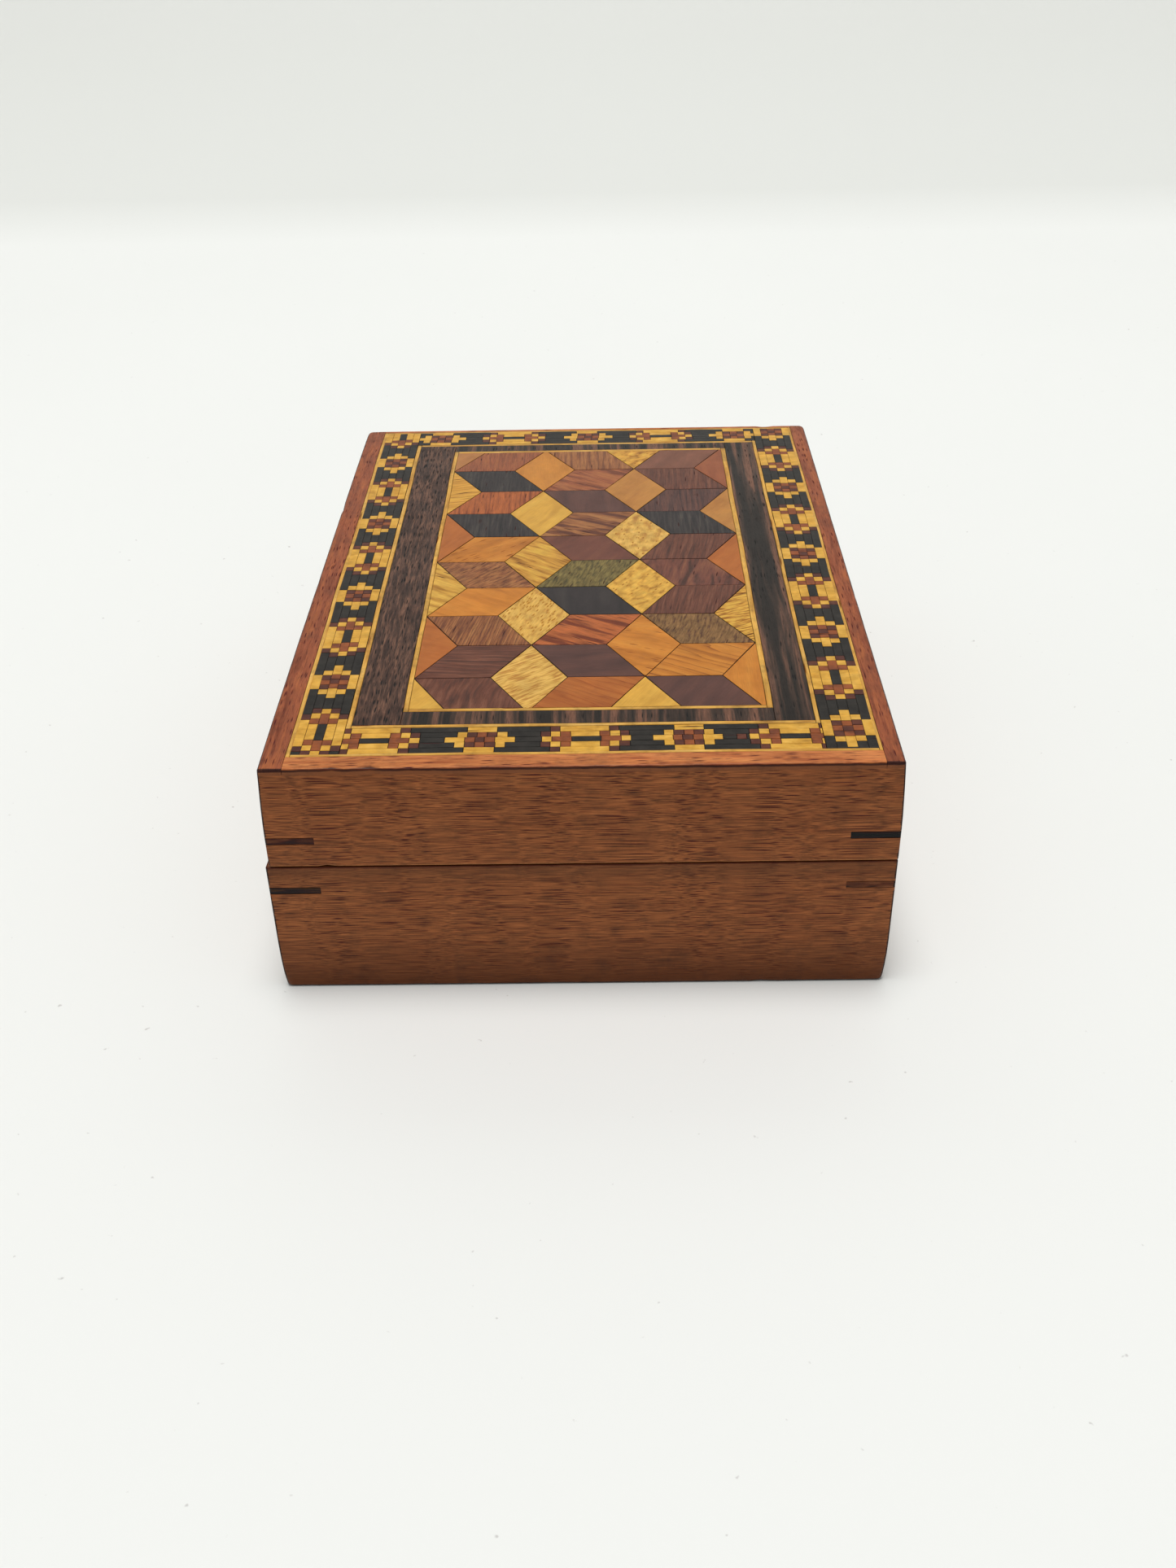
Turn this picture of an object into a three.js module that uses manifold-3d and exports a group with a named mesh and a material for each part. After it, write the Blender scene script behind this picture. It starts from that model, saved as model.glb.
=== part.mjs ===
// A small inlaid wooden box with a hinged lid, in millimetres, +Z up.
//
// The origin is the centre of the underside. X runs across the short ends, Y along the box, and the
// front end faces -Y. Walls are mitred and keyed at the corners, the lid is hung on two brass butts
// along the left side, and the lid's top is laid with bands of veneer round a panel of cube work.

import * as THREE from "three";
import { mergeVertices } from "three/addons/utils/BufferGeometryUtils.js";
import Module from "manifold-3d";

const wasm = await Module();
wasm.setup();

// ---------------------------------------------------------------- driving dimensions

const BOX_WIDTH = 75.8;
const BOX_LENGTH = 107;
const BASE_HEIGHT = 19; // underside to the middle of the saw cut
const LID_HEIGHT = 14; // middle of the saw cut to the top of the veneer
const SAW_CUT = 0.2; // gap between the two rims when the lid is shut
const WALL = 5;
const BOTTOM_BOARD = 3.5;
const LID_BOARD = 4;
const LINING = 0.8;
const LINING_MARGIN = 0.4; // from the lining's edge to the wall
const VENEER = 0.9;

// Splines let in across the outside of each mitre.
const KEY_LEG = 6; // length seen on each face
const KEY_THICKNESS = 0.95;
const BASE_KEY_HEIGHT = 15.4; // middle of the key above the underside
const LID_KEY_DEPTH = 10.2; // middle of the key below the top

// Widths of the veneer bands on each side, from the edge of the lid inwards.
const BAND_NAMES = [
  "crossband",
  "outer_stringing",
  "mosaic_band",
  "inner_stringing",
  "dark_band",
  "panel_stringing",
];
const BAND_WIDTHS = {
  left: [3.2, 0.6, 5.8, 0.65, 5.85, 0.65],
  right: [2.5, 0.5, 6.15, 0.55, 4.75, 0.75],
  front: [2.75, 0.55, 5.7, 0.65, 3.05, 0.65],
  back: [1.0, 0.5, 5.6, 0.6, 2.5, 0.7],
};

// Brass butt hinges.
const HINGE_LENGTH = 16;
const HINGE_FROM_END = 24; // from the end of the box to the middle of the hinge
const LEAF_WIDTH = 3.6; // part of the leaf let into the rim
const LEAF_THICKNESS = 0.7;
const KNUCKLE_RADIUS = 1.25;
const KNUCKLE_STANDOFF = 0.2; // from the knuckle to the back of the box
const KNUCKLE_GAP = 0.15; // between neighbouring knuckles
const PIN_RADIUS = 0.55;
const PIN_CLEARANCE = 0.08;
const MORTISE_CLEARANCE = 0.1; // round the edges of a leaf

// Countersunk brass screws.
const SCREW_SPACING = 9;
const SCREW_LENGTH = 4.5;
const SCREW_HEAD_RADIUS = 0.95;
const SCREW_HEAD_DEPTH = 0.45;
const SCREW_SHANK_RADIUS = 0.5;
const SCREW_CLEARANCE = 0.06;
const SLOT_WIDTH = 0.25;
const SLOT_DEPTH = 0.2;

// ---------------------------------------------------------------- levels and limits that follow

const HALF_WIDTH = BOX_WIDTH / 2;
const HALF_LENGTH = BOX_LENGTH / 2;
const HEIGHT = BASE_HEIGHT + LID_HEIGHT;
const BASE_RIM = BASE_HEIGHT - SAW_CUT / 2;
const LID_RIM = BASE_HEIGHT + SAW_CUT / 2;
const GROUND_TOP = HEIGHT - VENEER; // what the veneer is glued to
const INNER_HALF_WIDTH = HALF_WIDTH - WALL;
const INNER_HALF_LENGTH = HALF_LENGTH - WALL;
const HINGE_AXIS_X = -HALF_WIDTH - KNUCKLE_STANDOFF - KNUCKLE_RADIUS;
const HINGE_MIDDLES = {
  front: -HALF_LENGTH + HINGE_FROM_END,
  back: HALF_LENGTH - HINGE_FROM_END,
};
const LEAF_INNER_X = -HALF_WIDTH + LEAF_WIDTH;
const SCREW_X = -HALF_WIDTH + LEAF_WIDTH / 2;
const ROUND_SEGMENTS = 24;
const SCREW_SEGMENTS = 16;
const CUT_PAST = 1; // how far a cutter runs past the face that it opens

const WOOD = { roughness: 0.45, metalness: 0 };
const FINISHES = {
  carcase: { color: 0x6e3d24, ...WOOD },
  board: { color: 0x8a5a38, ...WOOD },
  key: { color: 0x241812, ...WOOD },
  crossband: { color: 0x9c5533, ...WOOD },
  stringing: { color: 0xd2a050, ...WOOD },
  mosaic: { color: 0x4a3a2e, ...WOOD },
  dark_band: { color: 0x40302b, ...WOOD },
  cube_panel: { color: 0xb0703a, ...WOOD },
  brass: { color: 0xb08d45, roughness: 0.35, metalness: 1 },
  lining: { color: 0x5b1f24, roughness: 0.95, metalness: 0 },
};

const box = new THREE.Group();

// ---------------------------------------------------------------- solids

// A closed manifold-3d solid from a three.js geometry.
function solid(geometry) {
  const bare = geometry.clone();
  bare.deleteAttribute("normal");
  bare.deleteAttribute("uv");
  const merged = mergeVertices(bare, 1e-4);
  return new wasm.Manifold(
    new wasm.Mesh({
      numProp: 3,
      vertProperties: merged.attributes.position.array,
      triVerts: new Uint32Array(merged.index.array),
    }),
  );
}

// A three.js geometry from a manifold-3d solid.
function geometryOf(made) {
  const mesh = made.getMesh();
  const geometry = new THREE.BufferGeometry();
  geometry.setAttribute("position", new THREE.BufferAttribute(mesh.vertProperties, 3));
  geometry.setIndex(new THREE.BufferAttribute(mesh.triVerts, 1));
  geometry.computeVertexNormals();
  return geometry;
}

function add(name, geometry, finish) {
  const mesh = new THREE.Mesh(geometry, new THREE.MeshStandardMaterial(FINISHES[finish]));
  mesh.name = name;
  box.add(mesh);
}

// A block between two corners.
function block(x0, x1, y0, y1, z0, z1) {
  const geometry = new THREE.BoxGeometry(x1 - x0, y1 - y0, z1 - z0);
  return geometry.translate((x0 + x1) / 2, (y0 + y1) / 2, (z0 + z1) / 2);
}

// An outline in plan, given as [x, y] corners, raised from z0 to z1.
function slab(corners, z0, z1) {
  const shape = new THREE.Shape(corners.map(([x, y]) => new THREE.Vector2(x, y)));
  const geometry = new THREE.ExtrudeGeometry(shape, { depth: z1 - z0, bevelEnabled: false });
  return geometry.translate(0, 0, z0);
}

// A round bar along Y.
function barAlongY(radius, x, y0, y1, z) {
  const bar = new THREE.CylinderGeometry(radius, radius, y1 - y0, ROUND_SEGMENTS);
  return bar.translate(x, (y0 + y1) / 2, z);
}

// ---------------------------------------------------------------- walls, keys and boards

const CORNERS = {
  front_left: [-1, -1],
  front_right: [1, -1],
  back_left: [-1, 1],
  back_right: [1, 1],
};

// The plan outline of one wall, anticlockwise, with its two ends cut at 45 degrees.
const WALL_OUTLINES = {
  front: [
    [-HALF_WIDTH, -HALF_LENGTH],
    [HALF_WIDTH, -HALF_LENGTH],
    [INNER_HALF_WIDTH, -INNER_HALF_LENGTH],
    [-INNER_HALF_WIDTH, -INNER_HALF_LENGTH],
  ],
  back: [
    [HALF_WIDTH, HALF_LENGTH],
    [-HALF_WIDTH, HALF_LENGTH],
    [-INNER_HALF_WIDTH, INNER_HALF_LENGTH],
    [INNER_HALF_WIDTH, INNER_HALF_LENGTH],
  ],
  left: [
    [-HALF_WIDTH, HALF_LENGTH],
    [-HALF_WIDTH, -HALF_LENGTH],
    [-INNER_HALF_WIDTH, -INNER_HALF_LENGTH],
    [-INNER_HALF_WIDTH, INNER_HALF_LENGTH],
  ],
  right: [
    [HALF_WIDTH, -HALF_LENGTH],
    [HALF_WIDTH, HALF_LENGTH],
    [INNER_HALF_WIDTH, INNER_HALF_LENGTH],
    [INNER_HALF_WIDTH, -INNER_HALF_LENGTH],
  ],
};

// A three-cornered spline across one corner of the box. past makes the cutter for its kerf, which
// runs out through both faces of the corner.
function cornerKey([sideX, sideY], middle, past = 0) {
  const x = sideX * (HALF_WIDTH + past);
  const y = sideY * (HALF_LENGTH + past);
  const leg = KEY_LEG + 2 * past;
  const corners = [
    [x, y],
    [x - sideX * leg, y],
    [x, y - sideY * leg],
  ];
  const outline = sideX * sideY > 0 ? corners : corners.reverse();
  return slab(outline, middle - KEY_THICKNESS / 2, middle + KEY_THICKNESS / 2);
}

function keyCuts(middle) {
  return Object.values(CORNERS).map((corner) => solid(cornerKey(corner, middle, CUT_PAST)));
}

// What the hinges need taken out of the rim at z, with the wood lying in direction up from it.
function hingeCuts(rim, up) {
  const cuts = [];
  for (const middle of Object.values(HINGE_MIDDLES)) {
    const bed = rim + up * LEAF_THICKNESS;
    cuts.push(
      solid(
        block(
          -HALF_WIDTH - CUT_PAST,
          LEAF_INNER_X + MORTISE_CLEARANCE,
          middle - HINGE_LENGTH / 2 - MORTISE_CLEARANCE,
          middle + HINGE_LENGTH / 2 + MORTISE_CLEARANCE,
          Math.min(bed, rim - up * CUT_PAST),
          Math.max(bed, rim - up * CUT_PAST),
        ),
      ),
    );
    for (const y of screwPlaces(middle)) cuts.push(solid(screwHole(y, rim, up)));
  }
  return cuts;
}

function addWalls(part, z0, z1, keyMiddle, leftCuts) {
  const kerfs = keyCuts(keyMiddle);
  for (const [side, outline] of Object.entries(WALL_OUTLINES)) {
    let wall = solid(slab(outline, z0, z1));
    for (const kerf of kerfs) wall = wall.subtract(kerf);
    if (side === "left") for (const cut of leftCuts) wall = wall.subtract(cut);
    add(`${part}_wall_${side}`, geometryOf(wall), "carcase");
  }
  for (const [corner, sides] of Object.entries(CORNERS)) {
    add(`${part}_key_${corner}`, cornerKey(sides, keyMiddle), "key");
  }
}

// A board let in between the walls.
function addBoard(name, z0, z1) {
  const board = block(
    -INNER_HALF_WIDTH,
    INNER_HALF_WIDTH,
    -INNER_HALF_LENGTH,
    INNER_HALF_LENGTH,
    z0,
    z1,
  );
  add(name, board, "board");
}

// A lining glued to a board.
function addLining(name, z0, z1) {
  const x = INNER_HALF_WIDTH - LINING_MARGIN;
  const y = INNER_HALF_LENGTH - LINING_MARGIN;
  add(name, block(-x, x, -y, y, z0, z1), "lining");
}

// ---------------------------------------------------------------- hinges

function screwPlaces(middle) {
  return [middle - SCREW_SPACING / 2, middle + SCREW_SPACING / 2];
}

// A round profile, given as [radius, depth] pairs, sunk into the rim at z in direction up.
function sunk(profile, y, rim, up) {
  const points = profile.map(([radius, depth]) => new THREE.Vector2(radius, depth));
  const lathe = new THREE.LatheGeometry(points, SCREW_SEGMENTS);
  lathe.rotateX((up * Math.PI) / 2);
  return lathe.translate(SCREW_X, y, rim);
}

function screw(y, rim, up) {
  const profile = [
    [0, 0],
    [SCREW_HEAD_RADIUS, 0],
    [SCREW_SHANK_RADIUS, SCREW_HEAD_DEPTH],
    [SCREW_SHANK_RADIUS, SCREW_LENGTH - SCREW_SHANK_RADIUS],
    [0, SCREW_LENGTH],
  ];
  return sunk(profile, y, rim, up);
}

// The countersunk hole that a screw sits in, open above the rim.
function screwHole(y, rim, up) {
  const shank = SCREW_SHANK_RADIUS + SCREW_CLEARANCE;
  const head = SCREW_HEAD_RADIUS + SCREW_CLEARANCE;
  const profile = [
    [0, -CUT_PAST],
    [head, -CUT_PAST],
    [head, SCREW_CLEARANCE],
    [shank, SCREW_HEAD_DEPTH + SCREW_CLEARANCE],
    [shank, SCREW_LENGTH + SCREW_CLEARANCE],
    [0, SCREW_LENGTH + SCREW_CLEARANCE],
  ];
  return sunk(profile, y, rim, up);
}

function slottedScrew(y, rim, up) {
  const slotEnd = rim + up * SLOT_DEPTH;
  const slot = block(
    SCREW_X - SLOT_WIDTH / 2,
    SCREW_X + SLOT_WIDTH / 2,
    y - SCREW_HEAD_RADIUS - CUT_PAST,
    y + SCREW_HEAD_RADIUS + CUT_PAST,
    Math.min(slotEnd, rim - up * CUT_PAST),
    Math.max(slotEnd, rim - up * CUT_PAST),
  );
  return geometryOf(solid(screw(y, rim, up)).subtract(solid(slot)));
}

// The lengths of hinge, along Y, that a leaf's knuckles take: the base leaf has the outer two.
function knuckleSpans(middle, leaf) {
  const third = HINGE_LENGTH / 3;
  const start = middle - HINGE_LENGTH / 2;
  const outer = [
    [start, start + third - KNUCKLE_GAP / 2],
    [start + 2 * third + KNUCKLE_GAP / 2, start + HINGE_LENGTH],
  ];
  const inner = [[start + third + KNUCKLE_GAP / 2, start + 2 * third - KNUCKLE_GAP / 2]];
  return leaf === "base" ? outer : inner;
}

function hingeLeaf(middle, leaf, rim, up) {
  const z0 = Math.min(rim, rim + up * LEAF_THICKNESS);
  const z1 = Math.max(rim, rim + up * LEAF_THICKNESS);
  const y0 = middle - HINGE_LENGTH / 2;
  const y1 = middle + HINGE_LENGTH / 2;
  let made = solid(block(-HALF_WIDTH, LEAF_INNER_X, y0, y1, z0, z1));
  for (const [from, to] of knuckleSpans(middle, leaf)) {
    const tail = block(HINGE_AXIS_X, -HALF_WIDTH + CUT_PAST, from, to, z0, z1);
    made = made.add(solid(barAlongY(KNUCKLE_RADIUS, HINGE_AXIS_X, from, to, BASE_HEIGHT)));
    made = made.add(solid(tail));
  }
  const bore = barAlongY(
    PIN_RADIUS + PIN_CLEARANCE,
    HINGE_AXIS_X,
    y0 - CUT_PAST,
    y1 + CUT_PAST,
    BASE_HEIGHT,
  );
  made = made.subtract(solid(bore));
  for (const y of screwPlaces(middle)) {
    made = made.subtract(solid(screwHole(y, rim, up)));
  }
  return geometryOf(made);
}

function addHinge(name, middle) {
  add(`${name}_base_leaf`, hingeLeaf(middle, "base", BASE_RIM, -1), "brass");
  add(`${name}_lid_leaf`, hingeLeaf(middle, "lid", LID_RIM, 1), "brass");
  const pin = barAlongY(
    PIN_RADIUS,
    HINGE_AXIS_X,
    middle - HINGE_LENGTH / 2,
    middle + HINGE_LENGTH / 2,
    BASE_HEIGHT,
  );
  add(`${name}_pin`, pin, "brass");
  screwPlaces(middle).forEach((y, i) => {
    add(`${name}_base_screw_${i + 1}`, slottedScrew(y, BASE_RIM, -1), "brass");
    add(`${name}_lid_screw_${i + 1}`, slottedScrew(y, LID_RIM, 1), "brass");
  });
}

// ---------------------------------------------------------------- the veneered top

// Lays the bands ring by ring. The left and right strips run the whole length of their ring, and the
// front and back strips are butted between them.
function addVeneers() {
  const finishes = {
    crossband: "crossband",
    mosaic_band: "mosaic",
    dark_band: "dark_band",
  };
  let [x0, x1] = [-HALF_WIDTH, HALF_WIDTH];
  let [y0, y1] = [-HALF_LENGTH, HALF_LENGTH];
  BAND_NAMES.forEach((name, i) => {
    const xLeft = x0 + BAND_WIDTHS.left[i];
    const xRight = x1 - BAND_WIDTHS.right[i];
    const yFront = y0 + BAND_WIDTHS.front[i];
    const yBack = y1 - BAND_WIDTHS.back[i];
    const strips = {
      left: [x0, xLeft, y0, y1],
      right: [xRight, x1, y0, y1],
      front: [xLeft, xRight, y0, yFront],
      back: [xLeft, xRight, yBack, y1],
    };
    for (const [side, limits] of Object.entries(strips)) {
      const strip = block(...limits, GROUND_TOP, HEIGHT);
      add(`${name}_${side}`, strip, finishes[name] ?? "stringing");
    }
    [x0, x1, y0, y1] = [xLeft, xRight, yFront, yBack];
  });
  add("cube_panel", block(x0, x1, y0, y1, GROUND_TOP, HEIGHT), "cube_panel");
}

// ---------------------------------------------------------------- the box

addWalls("base", 0, BASE_RIM, BASE_KEY_HEIGHT, hingeCuts(BASE_RIM, -1));
addBoard("bottom_board", 0, BOTTOM_BOARD);
addLining("base_lining", BOTTOM_BOARD, BOTTOM_BOARD + LINING);

addWalls("lid", LID_RIM, GROUND_TOP, HEIGHT - LID_KEY_DEPTH, hingeCuts(LID_RIM, 1));
addBoard("lid_board", GROUND_TOP - LID_BOARD, GROUND_TOP);
addLining("lid_lining", GROUND_TOP - LID_BOARD - LINING, GROUND_TOP - LID_BOARD);
addVeneers();

for (const [end, middle] of Object.entries(HINGE_MIDDLES)) addHinge(`hinge_${end}`, middle);

export default box;
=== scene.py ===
import math
import random

import bmesh
import bpy
from mathutils import Matrix, Vector, noise


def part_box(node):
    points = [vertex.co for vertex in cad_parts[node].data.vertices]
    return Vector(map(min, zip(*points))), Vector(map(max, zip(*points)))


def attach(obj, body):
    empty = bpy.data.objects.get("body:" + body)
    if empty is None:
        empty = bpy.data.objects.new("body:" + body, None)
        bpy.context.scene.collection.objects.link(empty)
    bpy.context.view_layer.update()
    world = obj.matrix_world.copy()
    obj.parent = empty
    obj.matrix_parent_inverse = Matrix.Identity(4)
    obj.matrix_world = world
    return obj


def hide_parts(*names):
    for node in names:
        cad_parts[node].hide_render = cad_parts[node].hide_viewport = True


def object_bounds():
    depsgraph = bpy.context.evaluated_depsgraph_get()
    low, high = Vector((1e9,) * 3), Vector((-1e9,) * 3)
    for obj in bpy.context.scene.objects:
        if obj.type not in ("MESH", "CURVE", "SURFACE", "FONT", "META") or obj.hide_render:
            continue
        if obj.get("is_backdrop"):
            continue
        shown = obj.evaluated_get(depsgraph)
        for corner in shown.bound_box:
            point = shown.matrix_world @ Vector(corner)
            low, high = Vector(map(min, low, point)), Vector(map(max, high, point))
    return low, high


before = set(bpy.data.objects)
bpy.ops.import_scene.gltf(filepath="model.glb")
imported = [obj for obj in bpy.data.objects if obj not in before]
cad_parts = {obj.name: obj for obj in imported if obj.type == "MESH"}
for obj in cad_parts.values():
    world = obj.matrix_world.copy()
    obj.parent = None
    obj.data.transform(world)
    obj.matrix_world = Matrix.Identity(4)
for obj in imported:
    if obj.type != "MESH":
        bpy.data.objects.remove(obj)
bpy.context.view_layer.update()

# A small inlaid box with a hinged lid. The base and lid are mitred, keyed walls that were sawn from
# one carcase. The lid's top is laid with bands of veneer, mosaic banding and a panel of cube work.

MM = 0.001
UP = Vector((0, 0, 1))

# ---- sizes of the carcase

HALF_WIDTH, HALF_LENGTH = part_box("base_wall_back")[1].xy
BASE_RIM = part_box("base_wall_front")[1].z
LID_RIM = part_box("lid_wall_front")[0].z
GROUND_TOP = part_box("lid_wall_front")[1].z
LID_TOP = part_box("crossband_front")[1].z
WALL = HALF_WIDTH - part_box("base_wall_right")[0].x

# How far the corners stand back from the middle of a side. A side that bows the other way is below 0.
SETBACK = {
    "lid": {"left": 0.12 * MM, "right": 0.0 * MM, "end": 0.04 * MM},
    "base": {"left": -0.34 * MM, "right": 0.0 * MM, "end": 0.04 * MM},
}
LID_LEAN = 0.36 * MM  # the lid's sides come in towards the top
FOOT_LEAN = 0.22 * MM  # and the base's towards the underside
CORNER_RADIUS = 0.28 * MM  # upright arrises
FAR_CORNER_RADIUS = 1.1 * MM  # the lid's two back corners, worn most at the top
FOOT_CORNER_RADIUS = 0.9 * MM  # upright arrises where they meet the underside
FOOT_RADIUS = 0.3 * MM  # arrises of the underside
RIM_RADIUS = 0.1 * MM  # arrises of the saw cut
TOP_RADIUS = 0.3 * MM  # arrises of the top
ARRIS_REACH = 0.7 * MM  # how far dents and the painted arris shade reach from an arris
FOOT_TOP = 6 * MM  # the foot's lean and rounder corners end at this height
CROWN_START = LID_RIM + 4 * MM  # and the crown's start at this one
LONG_WAVE, LONG_DRIFT = 22 * MM, 0.22 * MM  # how far strips run out of true, in waves of this length
SHORT_WAVE, SHORT_DRIFT = 6 * MM, 0.05 * MM

DIRECTIONS = {
    "front": (Vector((0, -1, 0)), Vector((1, 0, 0))),
    "back": (Vector((0, 1, 0)), Vector((1, 0, 0))),
    "left": (Vector((-1, 0, 0)), Vector((0, 1, 0))),
    "right": (Vector((1, 0, 0)), Vector((0, 1, 0))),
}
ENDS = ("front", "back")
FACE = {"front": HALF_LENGTH, "back": HALF_LENGTH, "left": HALF_WIDTH, "right": HALF_WIDTH}
RIGHTWARD, BACKWARD = Vector((1, 0, 0)), Vector((0, 1, 0))


# ---- cutting and shaping


def everything(bm):
    return bm.verts[:] + bm.edges[:] + bm.faces[:]


def block(low, high):
    """A rectangular block between two corners."""
    bm = bmesh.new()
    bmesh.ops.create_cube(bm, size=1.0)
    bmesh.ops.scale(bm, vec=high - low, verts=bm.verts)
    bmesh.ops.translate(bm, vec=(low + high) / 2, verts=bm.verts)
    return bm


def score(bm, point, normal):
    """Adds a loop of edges where a plane passes through, and takes nothing away."""
    bmesh.ops.bisect_plane(bm, geom=everything(bm), dist=1e-8, plane_co=point, plane_no=normal)


def score_lines(bm, direction, places):
    for place in places:
        score(bm, direction * place, direction)


def saw_off(bm, point, normal):
    """Takes away what lies on the normal's side of a plane, and closes the cut."""
    cut = bmesh.ops.bisect_plane(
        bm, geom=everything(bm), dist=1e-8, plane_co=point, plane_no=normal, clear_outer=True
    )
    rim = [g for g in cut["geom_cut"] if isinstance(g, bmesh.types.BMEdge)]
    if rim:
        bmesh.ops.contextual_create(bm, geom=rim)


def ease(bm, edges, offset, segments=1, clamp_overlap=False):
    """Takes the sharpness off edges."""
    bmesh.ops.bevel(
        bm, geom=edges, offset=offset, segments=segments, profile=0.5, affect="EDGES", material=-1,
        clamp_overlap=clamp_overlap,
    )


def steps(start, end, size):
    """Evenly spaced places strictly between two ends, about size apart."""
    count = max(1, round(abs(end - start) / size))
    return [start + (end - start) * i / count for i in range(1, count)]


def score_grid(bm, low, high, size):
    """Adds edges both ways across a flat piece, about size apart."""
    for direction in (RIGHTWARD, BACKWARD):
        score_lines(bm, direction, steps(low.dot(direction), high.dot(direction), size))


def near_ends(start, end, offsets):
    return [start + o * MM for o in offsets] + [end - o * MM for o in offsets]


def wobble(point, size, seed):
    """Smooth noise from -1 to 1, one wave about every size."""
    return noise.noise(point / size + Vector((seed * 7.3, seed * 3.1, seed * 5.7)))


def roll_over(inset, depth, radius):
    """Rounds a square arris: inset is the distance in from one face, depth from the other."""
    a = radius - inset
    b = radius - depth
    if a <= 0 or b <= 0:
        return inset, depth
    drawn_in = max(a, b) / math.hypot(a, b)
    return radius - a * drawn_in, radius - b * drawn_in


CHIP_AT_FOOT, CHIP_AT_BASE_RIM, CHIP_AT_LID_RIM, CHIP_AT_TOP = 0.0, 18.9, 19.1, 33.0
CHIPS = [
    # side, place along it, height, reach and depth of the larger chips along the arrises, in millimetres
    ("front", -28.4, CHIP_AT_TOP, 0.9, 0.30),
    ("front", -24.6, CHIP_AT_TOP, 1.3, 0.32),
    ("front", -19.5, CHIP_AT_TOP, 0.8, 0.20),
    ("front", -11.0, CHIP_AT_TOP, 0.7, 0.16),
    ("back", 30.3, CHIP_AT_TOP, 1.0, 0.45),
    ("right", -12.0, CHIP_AT_TOP, 0.9, 0.22),
    ("left", 21.0, CHIP_AT_TOP, 1.1, 0.25),
    ("front", 9.0, CHIP_AT_BASE_RIM, 0.7, 0.16),
    ("front", -31.0, CHIP_AT_LID_RIM, 0.8, 0.18),
    ("front", 22.5, CHIP_AT_FOOT, 1.0, 0.1),
    ("back", -14.0, CHIP_AT_LID_RIM, 0.9, 0.22),
    ("right", 33.0, CHIP_AT_FOOT, 1.3, 0.35),
    ("left", -40.0, CHIP_AT_FOOT, 1.4, 0.35),
]
CHIP_CENTRES = [
    DIRECTIONS[side][0] * FACE[side] + DIRECTIONS[side][1] * along * MM + UP * height * MM
    for side, along, height, reach, depth in CHIPS
]


def settle_carcase(point, on_base):
    """Where a point of the square carcase really lies, how near it is to an outer arris and to a rim."""
    x, y, z = point
    foot = max(0.0, 1.0 - z / FOOT_TOP) if on_base else 0.0
    crown = 0.0 if on_base else max(0.0, (z - CROWN_START) / (LID_TOP - CROWN_START))
    radius = CORNER_RADIUS + (FOOT_CORNER_RADIUS - CORNER_RADIUS) * foot ** 3
    if y > 0:
        radius += (FAR_CORNER_RADIUS - CORNER_RADIUS) * min(1.0, crown)
    core_x = max(-(HALF_WIDTH - radius), min(HALF_WIDTH - radius, x))
    core_y = max(-(HALF_LENGTH - radius), min(HALF_LENGTH - radius, y))
    out = Vector((x - core_x, y - core_y, 0))
    from_side = HALF_WIDTH - abs(x)
    from_end = HALF_LENGTH - abs(y)
    arris = rim = 0.0
    if from_side < ARRIS_REACH and from_end < ARRIS_REACH:
        arris = 1 - max(from_side, from_end) / ARRIS_REACH
    if out.length > 0:
        inset = radius - max(abs(out.x), abs(out.y))
        outer = z if on_base else LID_TOP - z
        inner = BASE_RIM - z if on_base else z - LID_RIM
        if max(outer, inset) < ARRIS_REACH:
            arris = max(arris, 1 - max(outer, inset) / ARRIS_REACH)
        if max(inner, inset) < ARRIS_REACH:
            rim = 1 - max(inner, inset) / ARRIS_REACH
        inset, new_outer = roll_over(inset, outer, FOOT_RADIUS if on_base else TOP_RADIUS)
        inset, new_inner = roll_over(inset, inner, RIM_RADIUS)
        z += (1 if on_base else -1) * (new_outer - outer - new_inner + inner)
        out = out.normalized() * (radius - inset)
        x, y = core_x + out.x, core_y + out.y
    side_share = max(0.0, 1 - from_side / WALL)
    end_share = max(0.0, 1 - from_end / WALL)
    setback = SETBACK["base" if on_base else "lid"]
    lean = FOOT_LEAN * foot ** 1.5 + LID_LEAN * crown ** 1.6
    side_in = setback["left" if x < 0 else "right"] * (y / HALF_LENGTH) ** 4 + lean
    end_in = setback["end"] * (x / HALF_WIDTH) ** 2 + lean * 0.6
    x -= side_in * side_share * math.copysign(1, x)
    y -= end_in * end_share * math.copysign(1, y)
    rest = Vector((x, y, z))
    if from_side < from_end:
        push = Vector((-math.copysign(1, x), 0, 0))
    else:
        push = Vector((0, -math.copysign(1, y), 0))
    near = max(arris, rim)
    if near > 0:
        dent = max(0.0, wobble(rest, 3.2 * MM, 1)) * 0.08 + max(0.0, wobble(rest, 1.1 * MM, 2)) * 0.04
        rest += push * dent * MM * near * near
    for centre, (side, along, height, reach, depth) in zip(CHIP_CENTRES, CHIPS):
        if (height * MM < BASE_RIM) != on_base:
            continue
        away = (rest - centre).length / (reach * MM)
        if away < 1:
            sunk = depth * MM * (1 - away * away)
            rest += push * sunk * 0.7
            rest.z += sunk * 0.7 * (1 if height in (CHIP_AT_FOOT, CHIP_AT_LID_RIM) else -1)
    return rest, min(1.0, arris), min(1.0, rim)


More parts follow.
